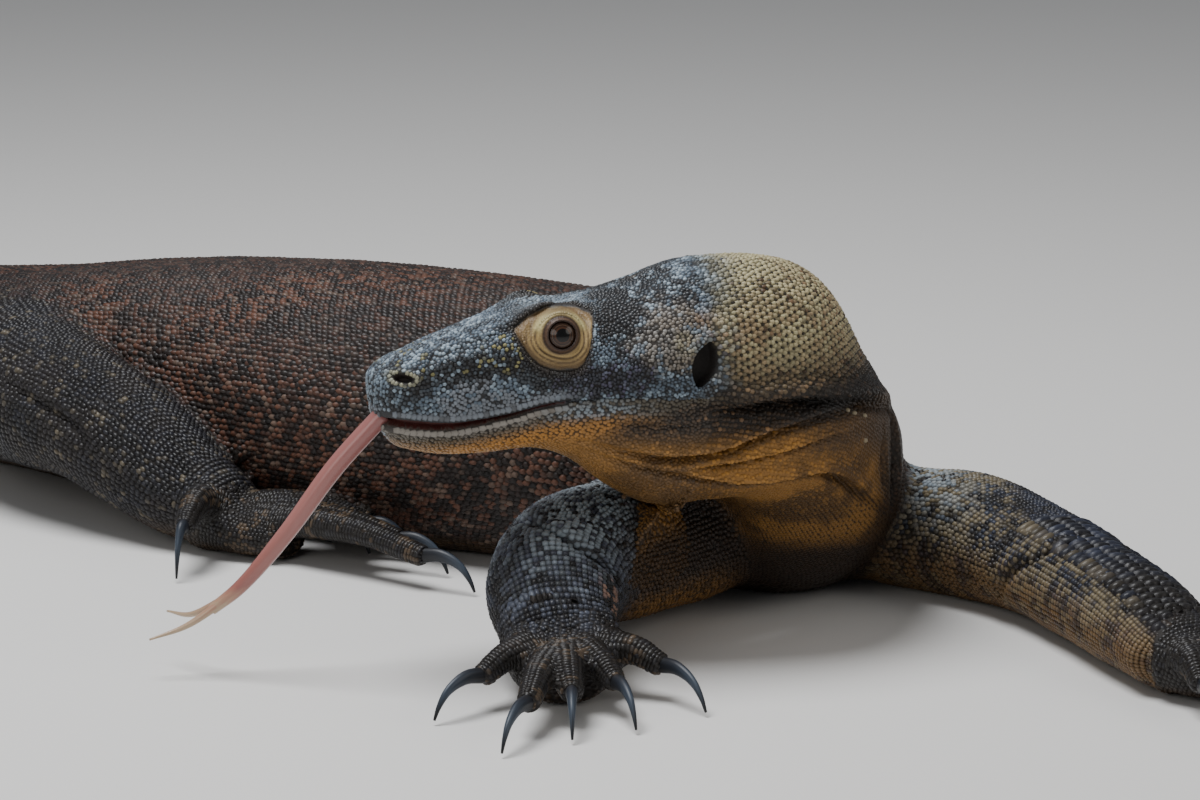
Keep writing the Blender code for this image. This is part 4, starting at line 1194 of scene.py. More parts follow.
def mouthInside(points):  # how far a place lies in the mouth's gap
    reach, lateral, height = headPlace(points)
    level, gape = lipLevel(reach, height), lipGap(reach)
    onSide = (reach < 0.02) | (np.abs(lateral) > 0.005)
    return (1 - ease(0.8, 1.25, np.abs(level) / gape)) * onSide * (reach < 0.09) * aboutHead(points)


def earInside(points):
    _, along, q = earPlace(points)
    inside = (1 - ease(0.75, 1.05, q)) * (np.abs(along) < ear["halfLength"])
    return inside * (np.abs(headPlace(points)[1]) > 0.02) * aboutHead(points)


def paintSkin():
    chance = np.full((len(skinPoints), 3), 0.45)
    colour = hideColour(skinPoints, skinNormals, chance)
    lay = painter(colour)
    # bare spares the skin the painted shade between scales: wholly on the lids and in the mouth's gap, in
    # part on the low neck and the nape.
    bare = np.zeros(len(skinPoints))
    reach, lateral, _ = headPlace(skinPoints)
    for sign in (-1, 1):
        _, ahead, above, _ = eyePlace(skinPoints, sign)
        lids = ease(-0.0012, 0.0004, lidShare(ahead, above)) * (np.hypot(ahead, above) < 0.026)
        bare = np.maximum(bare, lids * (lateral * sign > 0.01) * aboutHead(skinPoints))
    bare = np.maximum(bare, mouthInside(skinPoints))
    height = skinPoints[:, 2] + 0.1 * np.maximum(0, 0.1 - reach)
    lowNeck = ease(0.122, 0.11, height) * ease(0.062, 0.08, height)
    station = spineLookup(skinPoints)[1]
    bare = np.maximum(bare, 0.62 * lowNeck * ease(11.9, 12.9, station))
    nape = ease(0.13, 0.15, height) * ease(0.158, 0.178, reach)
    bare = np.maximum(bare, 0.55 * nape * ease(12.0, 13.2, station))
    lay("gum", mouthInside(skinPoints))
    # The ear's hole is painted near-black: painted shade.
    lay("pit", earInside(skinPoints))
    addAttribute(skinObject.data, "hide", "FLOAT_COLOR", colour)
    addAttribute(skinObject.data, "bare", "FLOAT", bare)


paintSkin()
print("skin painted")

# Lengths of the spine or a limb that are scaled in rows: pitch along and across, and how high.
trunkRows = dict(along=0.0039, across=0.0032, high=0.00115, bellyAcross=0.0056)
tailRows = dict(along=0.0049, across=0.0041, high=0.0011)
neckRows = dict(along=0.0023, across=0.002, high=0.0009, throatPitch=0.002)
palmRows = dict(along=0.0024, across=0.0027, high=0.0007)
toeRows = dict(along=0.002, across=0.004, high=0.0007)


def gridNormals(grid):
    along = np.gradient(grid, axis=0)
    around = np.roll(grid, -1, axis=1) - np.roll(grid, 1, axis=1)
    normal = unit(np.cross(along, around))
    middle = grid.mean(axis=1)[:, None]
    if np.sum(normal * (grid - middle)) < 0:
        normal = -normal
    return normal


def rowSites(grid, pitchAlong, pitchAcross, high, tile, jitter=0.08, stagger=0.5):
    # Columns run along the grid, every second one a step ahead; with no stagger they form rings.
    # The pitches are functions of the share round the girth.
    rows, sides = grid.shape[:2]
    normal = gridNormals(grid)
    lengths = np.linalg.norm(np.roll(grid, -1, axis=1) - grid, axis=2)
    reference = lengths[rows // 3: max(rows // 3 + 1, 2 * rows // 3)].mean(axis=0)
    shares = (np.arange(sides) + 0.5) / sides
    crowd = np.concatenate([[0.0], np.cumsum(reference / pitchAcross(shares))])
    count = max(6, int(round(crowd[-1])))
    columns = np.interp((np.arange(count) + 0.5) * crowd[-1] / count, crowd, np.arange(sides + 1.0))
    girth = lengths.sum(axis=1) / reference.sum()
    meanRun = np.concatenate([[0.0], np.cumsum(np.linalg.norm(np.diff(grid, axis=0), axis=2).mean(axis=1))])
    numbers = np.arange(float(rows))
    out = []
    shuffle = 1.6 * jitter  # sideways, against the jitter along
    for k, column in enumerate(columns):
        a, f = int(column) % sides, column - int(column)
        b = (a + 1) % sides
        line = grid[:, a] * (1 - f) + grid[:, b] * f
        facing = normal[:, a] * (1 - f) + normal[:, b] * f
        share = column / sides
        run = runAlong(line)
        stretch = np.gradient(run) / np.maximum(np.gradient(meanRun), 1e-9)
        if stagger == 0:
            run = meanRun
        pitch = float(pitchAlong(np.array([share]))[0])
        steps = np.arange((0.25 + stagger * (k % 2)) * pitch, run[-1], pitch)
        if not len(steps):
            continue
        steps = steps + dice.normal(0, jitter, len(steps)) * pitch
        row = np.interp(steps, run, numbers)
        point, norm = readRows(steps, run, line), readRows(steps, run, facing)
        ahead, behind = readRows(steps + 1e-4, run, line), readRows(steps - 1e-4, run, line)
        width = float(pitchAcross(np.array([share]))[0]) * np.interp(row, numbers, girth)
        lie = unit(ahead - behind)
        length = pitch * (np.interp(row, numbers, stretch) if stagger == 0 else np.ones(len(steps)))
        point = point + np.cross(norm, lie) * (dice.normal(0, shuffle, len(steps)) * width)[:, None]
        mark = (np.arange(len(steps)) - k // 2 - k) % 3 == 0  # every third scale of the lattice
        out.append(dict(
            point=point, normal=norm, lie=lie, mark=mark.astype(float),
            size=np.stack([length, width, np.full(len(steps), high)], axis=1),
            spot=np.stack([tile[0] + (tile[2] - tile[0]) * row / rows,
                           np.full(len(steps), tile[1] + (tile[3] - tile[1]) * share)], axis=1)))
    return {key: np.concatenate([o[key] for o in out]) for key in out[0]}


def joinSites(many):
    many = [sites for sites in many if len(sites["point"])]
    for sites in many:
        sites.setdefault("mark", np.zeros(len(sites["point"])))
    return {key: np.concatenate([sites[key] for sites in many]) for key in many[0]}


def pick(sites, keep):
    return {key: value[keep] for key, value in sites.items()}


def settle(sites):  # folds the places like the skin, and drops those that lie deep inside it
    points = sites["point"] - sites["normal"] * skin["coatDepth"]
    return seat(dict(sites, point=sculpt(points, sites["normal"])), 0.0042)


planted = {}  # the scales so far, by the cell of space they stand in
cellSize = 0.0036
cellSteps = [(a - 1, b - 1, c - 1) for a, b, c in np.ndindex(3, 3, 3)]


def thin(sites, share):  # drops a scale that stands nearer to a planted one than a share of their breadth
    keep = np.zeros(len(sites["point"]), bool)
    breadth = (0.5 * share * sites["size"][:, :2].min(axis=1)).tolist()
    for i, (x, y, z) in enumerate(sites["point"].tolist()):
        a, b, c = int(x // cellSize), int(y // cellSize), int(z // cellSize)
        free = True
        for dx, dy, dz in cellSteps:
            for px, py, pz, other in planted.get((a + dx, b + dy, c + dz), ()):
                if (px - x) ** 2 + (py - y) ** 2 + (pz - z) ** 2 < (breadth[i] + other) ** 2:
                    free = False
                    break
            if not free:
                break
        if free:
            planted.setdefault((a, b, c), []).append((x, y, z, breadth[i]))
            keep[i] = True
    return pick(sites, keep)


def seat(sites, reachOut=0.007):  # moves the places to the skin
    points, normals = sites["point"].copy(), sites["normal"].copy()
    good = np.ones(len(points), bool)
    for i, point in enumerate(points.tolist()):
        place, _, index, _ = skinTree.find_nearest(point, reachOut)
        if place is None:
            good[i] = False
            continue
        corners = skinFaces[index]
        points[i] = place
        weights = [1.0 / (1e-6 + sum((skinPoints[c][k] - place[k]) ** 2 for k in range(3))) for c in corners]
        mixed = sum(w * skinNormals[c] for w, c in zip(weights, corners))
        normals[i] = mixed / max(np.linalg.norm(mixed), 1e-9)
    sites = pick(dict(sites, point=points, normal=normals), good)
    lie = sites["lie"] - sites["normal"] * np.einsum("ij,ij->i", sites["lie"], sites["normal"])[:, None]
    sites["lie"] = unit(lie)
    return sites


def openings(points, margin=0.0):  # places where no scale grows: eyes, mouth, nostrils and ears
    shut = (mouthInside(points) > 0.02) | (earInside(points) > 0.3)
    lateral = headPlace(points)[1]
    for sign in (-1, 1):
        _, ahead, above, _ = eyePlace(points, sign)
        inLids = (lidShare(ahead, above) > 0.0004 - margin) & (np.hypot(ahead, above) < 0.026)
        shut |= inLids & (lateral * sign > 0.01)
    shut |= (nostrilShare(points, 0.0008) < 1.0) & (np.abs(lateral) > 0.004)
    return shut & aboutHead(points)


def spineRowSites(start, end, pitchAlong, pitchAcross, high, tile):
    t = spineStations(start, end, 0.0012)
    grid = spineGrid(t, fullTurn(200))
    grid = grid[::-1]  # the scales lie towards the tail
    return rowSites(grid, pitchAlong, pitchAcross, high, tile)


def level(value):
    return lambda share: np.full(len(share), value)


def evenRows(grid, rows, tile, *spread):
    return rowSites(grid, level(rows["along"]), level(rows["across"]), rows["high"], tile, *spread)


def towards(pitch, under):  # a pitch that goes over to another one under the body
    return lambda share: pitch + (under - pitch) * np.exp(-(((share - 0.75) / 0.13) ** 4))


wholeTile = (0.02, 0.02, 0.98, 0.98)


def trunkSites(start, end):
    across = towards(trunkRows["across"], trunkRows["bellyAcross"])
    sites = spineRowSites(start, end, level(trunkRows["along"]), across, trunkRows["high"], wholeTile)
    sites["size"][:, 2] *= 1 - 0.4 * ease(0.02, 0.004, sites["point"][:, 2])
    return thin(settle(sites), 0.55)


tailCuts = dict(  # from station to station, and how large the scales are
    Rear=[(0.02, 1.2, 0.72), (1.2, 2.6, 0.82), (2.6, 4.0, 0.92)],
    Front=[(4.0, 5.3, 1.0), (5.3, 6.75, 1.0)],
)
trunkCuts = dict(Rear=(6.75, 8.3), Middle=(8.3, 9.9), Front=(9.9, 11.65))
neckCut = dict(start=11.65, end=15.9, headEnds=0.159)  # stations, and the reach of the head's pebbles


def tailSites(cuts):
    many = []
    for i, (start, end, size) in enumerate(cuts):
        tile = (0.02 + 0.32 * i, 0.02, 0.02 + 0.32 * (i + 1) - 0.01, 0.98)
        along, across, high = (tailRows[key] * size for key in ("along", "across", "high"))
        many.append(spineRowSites(start, end, level(along), level(across), high, tile))
    return thin(settle(joinSites(many)), 0.55)


def headEdge(points):  # the reach where the head's pebbles give way to the neck's rows, made uneven
    return headPlace(points)[0] + 0.014 * (cloud(points, 0.007, 61) - 0.5)


def neckSites():
    along, across = (towards(neckRows[way], neckRows["throatPitch"]) for way in ("along", "across"))
    sites = spineRowSites(neckCut["start"], neckCut["end"], along, across, neckRows["high"], wholeTile)
    height = sites["point"][:, 2]
    t = spineLookup(sites["point"])[1]
    onHead = (t > firstHead - 2) & (headEdge(sites["point"]) < neckCut["headEnds"])
    sites["size"][:, 2] *= 0.55 + 0.45 * ease(0.1, 0.14, height)
    onNape = height > 0.132
    sites["size"][onNape & (sites["mark"] > 0)] *= 0.74
    sites["size"][onNape & (sites["mark"] == 0)] *= 1.1
    nearKnobs = np.linalg.norm(sites["point"] - np.array(knobPlace), axis=1) < 0.02
    knobs = nearKnobs & (dice.random(len(height)) > 0.975)
    sites["size"][knobs] *= (1.3, 1.3, 2.0)
    sites["mark"][knobs] = 2
    sites = thin(settle(pick(sites, ~onHead)), 0.55)
    return pick(sites, ~openings(sites["point"]))


# Each limb's pitch along and across, where along it the scales fall into rings, the rings' pitch,
# and the pitch and rise of the welts on its outer side.
hindPattern = dict(along=0.0036, across=0.0032, high=0.001, ringsFrom=0.8, rings=0.0031, welts=0.0031,
                   rise=1.0)
legPattern = dict(
    foreRight=dict(hindPattern, along=0.0031, across=0.0028, high=0.0013, ringsFrom=0.5, rings=0.0029,
                   welts=0.0029),
    foreLeft=dict(hindPattern, along=0.003, across=0.0027, ringsFrom=0.46, rings=0.0028, welts=0.0056,
                  rise=2.3),
    hindRight=hindPattern,
    hindLeft=hindPattern,
)


def legSites(name):
    rows = limbs[name]
    t = np.linspace(0.2, len(rows) - 0.1, 220)
    grid = limbGrid(name, t, fullTurn(160))
    pattern = legPattern[name]
    cut = int(len(t) * pattern["ringsFrom"])
    upper = evenRows(grid[:cut], pattern, (0.02, 0.02, 0.38, 0.98))
    outside = lambda share: ((share > 0.17) & (share < 0.58)) * (pattern["rise"] > 1)
    rings = lambda share: np.where(outside(share), pattern["welts"], pattern["rings"])
    breadth = lambda share: pattern["across"] * np.where(outside(share), 3.0, 1.0)
    lower = rowSites(grid[cut:], rings, breadth, pattern["high"], (0.4, 0.02, 0.58, 0.98), 0.02, 0.0)
    onWelt = outside((lower["spot"][:, 1] - 0.02) / 0.96)  # the tile's edges are left out
    lower["size"][onWelt] *= (0.94, 1.06, pattern["rise"])
    many = [settle(joinSites([upper, lower]))]
    grid = palmGrid(name, np.linspace(0.1, 2, 80), fullTurn(120))
    many.append(settle(evenRows(grid, palmRows, (0.6, 0.02, 0.78, 0.98))))
    for number, digit in enumerate(feet[name][4]):
        grid = tubeGrid(digitRows(name, digit), np.linspace(0.3, 3.9, 100), fullTurn(60))
        tile = (0.8, 0.02 + 0.195 * number, 0.98, 0.02 + 0.195 * number + 0.18)
        many.append(settle(evenRows(grid, toeRows, tile, 0.03, 0.0)))
    return thin(joinSites(many[::-1]), 0.58)


# The head's pebbles: their pitch at the snout and crown, on the temple, the jaw and the throat.
pebbles = dict(
    crown=0.0019, snout=0.0018, temple=0.0016, jaw=0.0018, throat=0.0017, lids=0.0014, high=0.00062,
    pitch=0.0016, crowd=6,  # how closely the places are tried
)


def pebblePitch(points, normals):
    reach, lateral, height = headPlace(points)
    top = ease(0.2, 0.7, normals[:, 2])
    pitch = np.full(len(points), pebbles["snout"])
    back = ease(0.085, 0.105, reach)
    pitch = pitch * (1 - back * (1 - top)) + pebbles["temple"] * back * (1 - top)
    pitch = pitch * (1 - top) + pebbles["crown"] * top
    level = lipLevel(reach, height)
    jaw = ease(0.0, 0.002, -level)
    pitch = pitch * (1 - jaw) + pebbles["jaw"] * jaw
    low = ease(0.01, 0.02, -level)
    pitch = pitch * (1 - low) + pebbles["throat"] * low
    for sign in (-1, 1):
        _, ahead, above, _ = eyePlace(points, sign)
        lids = ease(0.03, 0.02, np.hypot(ahead, above)) * (lateral * sign > 0.008)
        pitch = pitch * (1 - lids) + pebbles["lids"] * lids
    earShare = bell((reach - 0.153) / 0.012, (height - 0.143) / 0.014) * (np.abs(lateral) > 0.02)
    return pitch * (1 - earShare) + pebbles["lids"] * earShare


def scatterPebbles():
    reach, _, height = headPlace(skinPoints)
    inHead = (reach < 0.166) & (height > 0.055)
    points, normals = scatter(skinTriangles(inHead), pebbles["pitch"], pebbles["crowd"])
    value, t, found = spineLookup(points)
    reach, lateral, _ = headPlace(points)
    level, gape = lipLevel(reach, points[:, 2]), lipGap(reach)
    plated = (reach > 0.004) & (reach < 0.092) & (np.abs(lateral) > 0.008) & aboutHead(points)
    plated &= (level < gape + 0.0042) & (level > -gape - 0.004)
    keep = found & (value < 0.004) & (t > firstHead - 1.2) & (headEdge(points) < neckCut["headEnds"])
    keep &= ~openings(points, 0.002) & ~plated
    points, normals = points[keep], normals[keep]
    pitch = pebblePitch(points, normals)
    reach, lateral, height = headPlace(points)
    turn = np.arctan2(height - headLine, lateral) / (2 * math.pi) + 0.5
    spot = np.stack([0.02 + 0.96 * np.clip(reach / 0.165, 0, 1), 0.02 + 0.7 * turn], axis=1)
    high = pebbles["high"] * (1 - 0.45 * ease(-0.006, -0.016, lipLevel(reach, height)))
    size = np.stack([pitch, pitch, high], axis=1)
    lie = np.tile(-headAxis, (len(points), 1))
    return thin(dict(point=points, normal=normals, lie=lie, size=size, spot=spot), 0.8)


lidRings = dict(offsets=(-0.0007, -0.0021), pitch=0.0014, high=0.0005)


def almond(offset):  # a closed outline round the lids, with its steps evenly long
    turn = np.linspace(0, 2 * math.pi, 721)
    radius = np.full(len(turn), 0.005)
    for reach in np.linspace(0.005, 0.027, 200):
        inside = lidShare(reach * np.cos(turn), reach * np.sin(turn)) > offset
        radius[inside] = reach
    flat = np.stack([radius * np.cos(turn), radius * np.sin(turn)], axis=1)
    run = runAlong(flat)
    count = int(run[-1] / lidRings["pitch"])
    at = (np.arange(count) + 0.5 * (offset > 0)) / count * run[-1]
    return np.interp(at, run, flat[:, 0]), np.interp(at, run, flat[:, 1]), np.interp(at, run, turn)


def skinTriangles(inside):  # the skin's triangles whose corners are all inside a region
    faces = [f for f in skinFaces if all(inside[c] for c in f)]
    return np.array([(f[0], f[i], f[i + 1]) for f in faces for i in range(1, len(f) - 1)])


def scatter(triangles, pitch, crowd):  # places and normals strewn evenly over some of the skin
    a, b, c = (skinPoints[triangles[:, i]] for i in range(3))
    area = np.linalg.norm(np.cross(b - a, c - a), axis=1) / 2
    count = int(area.sum() / pitch**2 * crowd)
    chosen = dice.choice(len(triangles), count, p=area / area.sum())
    u, v = dice.random(count), dice.random(count)
    flip = u + v > 1
    u[flip], v[flip] = 1 - u[flip], 1 - v[flip]
    points = a[chosen] + (b - a)[chosen] * u[:, None] + (c - a)[chosen] * v[:, None]
    normals = sum(skinNormals[triangles[chosen, i]] * w[:, None] for i, w in enumerate((1 - u - v, u, v)))
    return points, unit(normals)


fill = dict(pitch=0.0027, high=0.0008, reach=0.98, crowd=4)


def fillSites():  # scales for the bare places that the rows leave where parts meet
    points, normals = scatter(skinTriangles(skinPoints[:, 2] > 0.004), fill["pitch"], fill["crowd"])
    keep = (normals[:, 2] > -0.75) & (points[:, 0] > -0.3) & ~openings(points, 0.003)
    reach, _, height = headPlace(points)
    keep &= ~(aboutHead(points) & (reach < 0.1) & (np.abs(lipLevel(reach, height)) < 0.008))
    points, normals = points[keep], normals[keep]
    lie = unit(np.cross(normals, (0.2, 0.5, 0.84)))
    size = np.tile((fill["pitch"], fill["pitch"], fill["high"]), (len(points), 1))
    spot = 0.02 + 0.96 * (points[:, :2] - (-0.3, -0.5)) / (0.8, 1.00)
    sites = dict(point=points, normal=normals, lie=lie, size=size, spot=spot, mark=np.zeros(len(points)))
    return thin(sites, fill["reach"])


def lidSites():
    many = []
    for sign in (-1, 1):
        centre, axis, forward, above = eyeFrame(sign)
        above = above if above[2] > 0 else -above
        for ring, offset in enumerate(lidRings["offsets"]):
            x, y, turn = almond(offset)
            count = len(x)
            flat = x[:, None] * forward + y[:, None] * above
            spotX = 0.75 * np.ones(count) + 0.03 * ring + 0.12 * (sign > 0)
            spot = np.stack([spotX, 0.76 + 0.2 * turn / (2 * math.pi)], axis=1)
            size = np.tile((lidRings["pitch"] * 1.05, lidRings["pitch"], lidRings["high"]), (count, 1))
            many.append(dict(point=centre + axis * 0.008 + flat, normal=np.tile(axis, (count, 1)), lie=flat,
                             size=size, spot=spot))
    return seat(joinSites(many))


# Plates along the lips: their distance above or below the line, length, breadth and height.
lipPlates = [(0.0028, 0.0027, 0.0028, 0.00042), (-0.0028, 0.0034, 0.003, 0.0003)]


def lipSites():
    many = []
    reachSteps = np.linspace(0.006, 0.091, 500)
    for sign in (-1, 1):
        for row, (offset, length, breadth, high) in enumerate(lipPlates):
            heights = readLine(mouth["line"], reachSteps) + offset + np.sign(offset) * lipGap(reachSteps)
            halfWidths = np.interp(reachSteps, *np.array(body["head"])[::-1, :2].T)
            line = snoutTip - headAxis * reachSteps[:, None] + headAcross * (sign * halfWidths)[:, None]
            line[:, 2] = heights
            run = runAlong(line)
            at = np.arange(0.5 * length, run[-1], length)
            points = readRows(at, run, line)
            count = len(at)
            lane = np.full(count, 0.8 + 0.05 * row + 0.1 * (sign > 0))
            spot = np.stack([0.05 + 0.66 * at / run[-1], lane], axis=1)
            size = np.tile((length, breadth, high), (count, 1))
            many.append(dict(point=points, normal=np.tile(headAcross * sign, (count, 1)),
                             lie=np.tile(-headAxis, (count, 1)), size=size, spot=spot))
    return seat(joinSites(many))


def scaleShape(name, sides, crown, shift, keel, tip):
    # A low shield. Its rim is sunk in the skin, its crown leans back over the next scale.
    points, petals = [], []
    for ring in range(2):
        for k in range(sides):
            angle = 2 * math.pi * k / sides
            c, s = math.cos(angle), math.sin(angle)
            if ring == 0:
                points.append((0.6 * c + tip * (c > 0.9), 0.58 * s, -0.3))
                petals.append((0.48 * c, 0.48 * s, 0.0))
            else:
                lift = 0.66 + 0.2 * c + keel * (abs(s) < 0.3) * 0.5
                points.append((0.5 * crown * c + shift + tip * 0.7 * (c > 0.9), 0.5 * crown * s, lift))
                petals.append((0.3 * c, 0.3 * s, 0.72))
    points.append((shift + 0.04, 0.0, 1.0 + keel))
    petals.append((0.0, 0.0, 1.0))
    faces = []
    for k in range(sides):
        n = (k + 1) % sides
        faces += [(k, n, sides + n), (k, sides + n, sides + k), (sides + k, sides + n, 2 * sides)]
    mesh = makeMesh(name, points, faces)
    addAttribute(mesh, "petal", "FLOAT_VECTOR", np.array(petals))
    shape = makeObject(name, mesh)
    shape.hide_render = True
    return shape


shapes = dict(
    bead=scaleShape("beadScale", 6, 0.78, 0.04, 0.0, 0.03),
    grain=scaleShape("grainScale", 5, 0.8, 0.04, 0.0, 0.03),
    keeled=scaleShape("keeledScale", 6, 0.74, 0.06, 0.12, 0.08),
    pebble=scaleShape("pebbleScale", 5, 0.84, 0.02, 0.0, 0.0),
)


def plantTree():
    tree = bpy.data.node_groups.new("plantScales", "GeometryNodeTree")
    sockets = {"Geometry": "Geometry", "Scale shape": "Object", "Overlap along": "Float",
               "Overlap across": "Float", "Height": "Float", "Uneven": "Float", "Material": "Material"}
    for label, kind in sockets.items():
        tree.interface.new_socket(label, in_out="INPUT", socket_type="NodeSocket" + kind)
    tree.interface.new_socket("Geometry", in_out="OUTPUT", socket_type="NodeSocketGeometry")
    node, link = tree.nodes.new, tree.links.new
    entry, leave = node("NodeGroupInput"), node("NodeGroupOutput")
    given = entry.outputs

    def attribute(name):
        found = node("GeometryNodeInputNamedAttribute")
        found.data_type = "FLOAT_VECTOR"
        found.inputs["Name"].default_value = name
        return found.outputs["Attribute"]

    def combine(x, y, z):
        made = node("ShaderNodeCombineXYZ")
        for socket, value in zip(made.inputs, (x, y, z)):
            link(value, socket)
        return made.outputs["Vector"]

    def vectors(operation, a, b):
        made = node("ShaderNodeVectorMath")
        made.operation = operation
        if isinstance(a, tuple):
            made.inputs[0].default_value = a
        else:
            link(a, made.inputs[0])
        link(b, made.inputs[1])
        return made.outputs["Vector"]

    info = node("GeometryNodeObjectInfo")
    link(given["Scale shape"], info.inputs["Object"])
    turn = node("FunctionNodeAxesToRotation")
    turn.primary_axis, turn.secondary_axis = "Z", "X"
    link(attribute("rise"), turn.inputs["Primary Axis"])
    link(attribute("lie"), turn.inputs["Secondary Axis"])
    spread = combine(given["Uneven"], given["Uneven"], given["Uneven"])
    random = node("FunctionNodeRandomValue")
    random.data_type = "FLOAT_VECTOR"
    random.inputs["Seed"].default_value = 7
    link(vectors("SUBTRACT", (1, 1, 1), spread), random.inputs["Min"])
    link(vectors("ADD", (1, 1, 1), spread), random.inputs["Max"])
    factors = combine(given["Overlap along"], given["Overlap across"], given["Height"])
    size = vectors("MULTIPLY", vectors("MULTIPLY", attribute("size"), factors), random.outputs["Value"])
    plant = node("GeometryNodeInstanceOnPoints")
    link(given["Geometry"], plant.inputs["Points"])
    link(info.outputs["Geometry"], plant.inputs["Instance"])
    link(turn.outputs["Rotation"], plant.inputs["Rotation"])
    link(size, plant.inputs["Scale"])
    dress = node("GeometryNodeSetMaterial")
    link(given["Material"], dress.inputs["Material"])
    flow = plant.outputs["Instances"]
    for step in (node("GeometryNodeRealizeInstances"), node("GeometryNodeSetShadeSmooth"), dress):
        link(flow, step.inputs["Geometry"])
        flow = step.outputs["Geometry"]
    link(flow, leave.inputs["Geometry"])
    return tree


scaleTree = plantTree()


def setInput(modifier, name, value):
    for item in modifier.node_group.interface.items_tree:
        if item.item_type == "SOCKET" and item.in_out == "INPUT" and item.name == name:
            modifier[item.identifier] = value


def group(name, inputs, outputs):
    tree = bpy.data.node_groups.new(name, "ShaderNodeTree")
    for label, kind, value in inputs:
        socket = tree.interface.new_socket(label, in_out="INPUT", socket_type="NodeSocket" + kind)
        socket.default_value = value
    for label, kind in outputs:
        tree.interface.new_socket(label, in_out="OUTPUT", socket_type="NodeSocket" + kind)
    return tree, tree.nodes.new("NodeGroupInput"), tree.nodes.new("NodeGroupOutput")


def noiseNode(tree, size, detail=3.0, rough=0.6):
    where = tree.nodes.new("ShaderNodeTexCoord")
    noise = tree.nodes.new("ShaderNodeTexNoise")
    tune(noise, Scale=size, Detail=detail, Roughness=rough)
    tree.links.new(where.outputs["Object"], noise.inputs["Vector"])
    return noise.outputs["Fac"]


def mathNode(tree, operation, a, b=0.5, c=None):
    made = tree.nodes.new("ShaderNodeMath")
    made.operation = operation
    for socket, value in zip(made.inputs, (a, b, c)):
        if value is None:
            continue
        if isinstance(value, (int, float)):
            socket.default_value = value
        else:
            tree.links.new(value, socket)
    return made.outputs[0]


def mixNode(tree, share, a, b, blend="MIX"):
    made = tree.nodes.new("ShaderNodeMix")
    made.data_type = "RGBA"
    made.blend_type = blend
    sockets = [s for s in made.inputs if s.enabled]
    for socket, value in zip(sockets, (share, a, b)):
        if isinstance(value, (int, float)):
            socket.default_value = value
        elif isinstance(value, tuple):
            socket.default_value = value
        else:
            tree.links.new(value, socket)
    return [s for s in made.outputs if s.enabled][0]


def rampNode(tree, share, stops):  # display tones at their places from 0 to 1
    ramp = tree.nodes.new("ShaderNodeValToRGB")
    tree.links.new(share, ramp.inputs["Fac"])
    elements = ramp.color_ramp.elements
    while len(elements) < len(stops):
        elements.new(0.5)
    for element, (place, tone) in zip(elements, stops):
        element.position = place
        element.color = (*toLinear(tone), 1)
    return ramp.outputs["Color"]


def tune(node, **values):  # sets inputs of a node; an underscore stands for a space
    for name, value in values.items():
        node.inputs[name.replace("_", " ")].default_value = value


def hideGroup():
    # Fine grain over the marking's colour, with painted shade darkening a scale's rim and a pale grey laid
    # towards its crown.
    tree, entry, leave = group(
        "hideTone",
        [("Marking", "Color", (0.2, 0.2, 0.2, 1)), ("Crown", "Float", 0.5), ("Rim shade", "Float", 0.45),
         ("Crown paling", "Float", 0.25), ("Gloss", "Float", 0.45)],
        [("Colour", "Color"), ("Roughness", "Float"), ("Grain", "Float")])
    get = entry.outputs
    fine = noiseNode(tree, 900.0, 2.0)
    broad = noiseNode(tree, 60.0, 4.0)
    rim = mathNode(tree, "POWER", mathNode(tree, "SUBTRACT", 1.0, get["Crown"]), 1.6)
    dark = mixNode(tree, get["Rim shade"], get["Marking"], (0.012, 0.009, 0.007, 1))
    shaded = mixNode(tree, rim, get["Marking"], dark)
    paling = mathNode(tree, "MULTIPLY", get["Crown paling"], mathNode(tree, "POWER", get["Crown"], 3.0))
    pale = mixNode(tree, paling, shaded, (0.62, 0.62, 0.58, 1))
    value = mathNode(tree, "MULTIPLY_ADD", broad, 0.7, 0.65)
    value = mathNode(tree, "MULTIPLY", value, mathNode(tree, "MULTIPLY_ADD", fine, 0.4, 0.8))
    vary = tree.nodes.new("ShaderNodeHueSaturation")
    tree.links.new(pale, vary.inputs["Color"])
    tree.links.new(value, vary.inputs["Value"])
    rough = mathNode(tree, "ADD", get["Gloss"], mathNode(tree, "MULTIPLY_ADD", broad, 0.3, -0.1))
    rough = mathNode(tree, "ADD", rough, mathNode(tree, "MULTIPLY", rim, 0.2))
    tree.links.new(vary.outputs["Color"], leave.inputs["Colour"])
    tree.links.new(rough, leave.inputs["Roughness"])
    tree.links.new(fine, leave.inputs["Grain"])
    return tree


toneGroup = hideGroup()


def material(name):
    made = bpy.data.materials.new(name)
    made.use_nodes = True
    return made, made.node_tree, made.node_tree.nodes["Principled BSDF"]


def attributeNode(tree, name, output):
    found = tree.nodes.new("ShaderNodeAttribute")
    found.attribute_name = name
    return found.outputs[output]


def bumpNode(tree, height, strength, distance):
    bump = tree.nodes.new("ShaderNodeBump")
    tune(bump, Strength=strength, Distance=distance)
    tree.links.new(height, bump.inputs["Height"])
    return bump.outputs["Normal"]


def hideMaterial(name, finish):
    made, tree, shader = material(name)
    tone = tree.nodes.new("ShaderNodeGroup")
    tone.node_tree = toneGroup
    for label, value in finish.items():
        tone.inputs[label].default_value = value
    tree.links.new(attributeNode(tree, "hide", "Color"), tone.inputs["Marking"])
    tree.links.new(tone.outputs["Colour"], shader.inputs["Base Color"])
    tree.links.new(tone.outputs["Roughness"], shader.inputs["Roughness"])
    return made, tree, shader, tone


